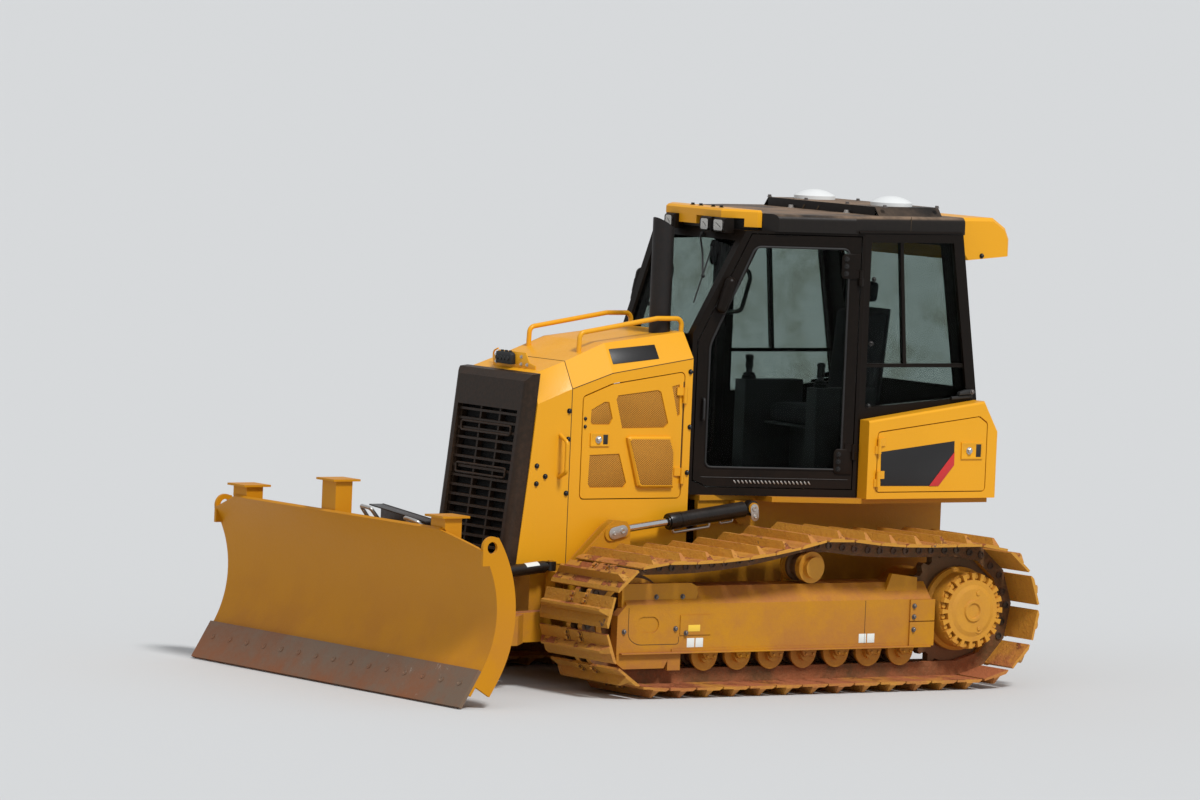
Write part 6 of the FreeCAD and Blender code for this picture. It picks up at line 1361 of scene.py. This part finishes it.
# %% Rigid pipes on the lift barrels
for side, letter, name in ((1, "l", "left"), (-1, "r", "right")):
    axis = (at(958, side * 491, 885) - at(28, side * 491, 1000)).normalized()
    pin = at(28, side * 491, 1000)
    drop = Vector((axis.z, 0, -axis.x))

    def beside(along, down, out=0.0):
        return pin + axis * along + drop * down + Vector((0, side * out, 0))
    runs = [
        tube(bent([beside(0.555, 0.038), beside(0.555, 0.066), beside(0.300, 0.066), beside(0.300, 0.040)], 0.02), 0.008, 3),
        tube(bent([beside(0.120, 0.038, -0.02), beside(0.120, 0.062, -0.02), beside(0.210, 0.062, -0.02),
                   beside(0.210, 0.038, -0.02)], 0.015), 0.008, 3),
    ]
    finish_piece(join_pieces(runs), "lift_pipes_" + name, "lift_barrel_" + letter, bright_steel)

# %% [markdown]
# ## Seat
# The seat is the only soft thing here. Its cushion, backrest and headrest are
# padded: each starts as a rounded block a little smaller than its place, is remeshed into even
# cells and blown up by cloth pressure, so that the sides pull in and the middle crowns. The
# foot stays a plain column.

# %% Padded seat
def pad(name, middle, size, tilt, cap):
    clear_selection()
    bpy.ops.mesh.primitive_cube_add(size=1, location=(0, 0, 0))
    block = bpy.context.object
    choose(block)
    bpy.ops.transform.resize(value=[side - 0.03 for side in size])
    bpy.ops.object.transform_apply(location=False, rotation=False, scale=True)
    soften(block, min(size) * 0.28, 4)
    choose(block)
    voxel = block.modifiers.new("cells", "REMESH")
    voxel.mode = "VOXEL"
    voxel.voxel_size = 0.010
    bpy.ops.object.modifier_apply(modifier=voxel.name)
    before = [vertex.co.copy() for vertex in block.data.vertices]
    cloth = block.modifiers.new("cloth", "CLOTH")
    cloth.settings.use_pressure = True
    cloth.settings.uniform_pressure_force = 4.0
    cloth.settings.effector_weights.gravity = 0.0
    for step in range(1, 21):
        scene.frame_set(step)
    seen = block.evaluated_get(bpy.context.evaluated_depsgraph_get())
    after = [vertex.co.copy() for vertex in seen.data.vertices]
    block.modifiers.remove(cloth)
    scene.frame_set(1)
    for vertex, old, new in zip(block.data.vertices, before, after):
        move = new - old
        if move.length > cap:
            move *= cap / move.length
        vertex.co = old + move
    choose(block)
    smoother = block.modifiers.new("smoother", "SUBSURF")
    smoother.levels = smoother.render_levels = 1
    bpy.ops.object.modifier_apply(modifier=smoother.name)
    bpy.ops.object.shade_smooth()
    block.matrix_world = Matrix.Translation(middle) @ Matrix.Rotation(tilt, 4, "Y")
    finish_piece(block, name, "chassis", seat_cloth)
    return block


cushion = pad("seat_cushion", at(-810, 0, 1497), (0.49, 0.49, 0.13), 0.0, 0.012)
pad("seat_backrest", at(-1055, 0, 1830), (0.10, 0.47, 0.60), math.radians(-6), 0.010)
pad("seat_headrest", at(-1096, 0, 2222), (0.085, 0.25, 0.15), math.radians(-6), 0.008)
column = outline_plate([at(x, y, 1110) for x, y in ((-1030, -180), (-720, -180), (-720, 180), (-1030, 180))],
                       0.322, (0, 0, 1), 0.02)
shell = outline_plate([at(x, -215, z) for x, z in ((-1062, 1432), (-562, 1432), (-562, 1446), (-1052, 1446),
                                                  (-1118, 2130), (-1132, 2130))], 0.430, (0, 1, 0), 0.004)
finish_piece(join_pieces([column, shell]), "seat_foot", "chassis", console_grey)
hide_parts("seat")

# %% [markdown]
# Levers stand on both armrests. A lever is a spun handle on a rubber boot, and the dash carries
# a plain dark screen.

# %% Levers and screen
levers = []
for side in (1, -1):
    base = at(-540, side * 350, 1681)
    boot = spun_ring(((0, 0.0005), (0, 0.045), (0.012, 0.040), (0.018, 0.043), (0.026, 0.033), (0.032, 0.036),
                      (0.042, 0.020), (0.044, 0.0005)), base, base + Vector((0, 0, 1)))
    grip = spun_ring(((0.060, 0.0005), (0.060, 0.020), (0.085, 0.024), (0.110, 0.021), (0.128, 0.026),
                      (0.140, 0.022), (0.147, 0.0005)), base, base + Vector((0, 0, 1)))
    levers += [boot, grip]
finish_piece(join_pieces(levers), "levers", "chassis", rubber_black)
screen = outline_plate([at(178, y, z) for y, z in ((-130, 1690), (60, 1690), (60, 1810), (-130, 1810))],
                       0.012, (-1, 0, 0), 0.004)
finish_piece(screen, "dash_screen", "chassis", plate_black)
for template in (small_bolt, panel_bolt, large_bolt, bead, boss, plough_bolt, link_eye):
    choose(template)
    bpy.ops.object.delete()
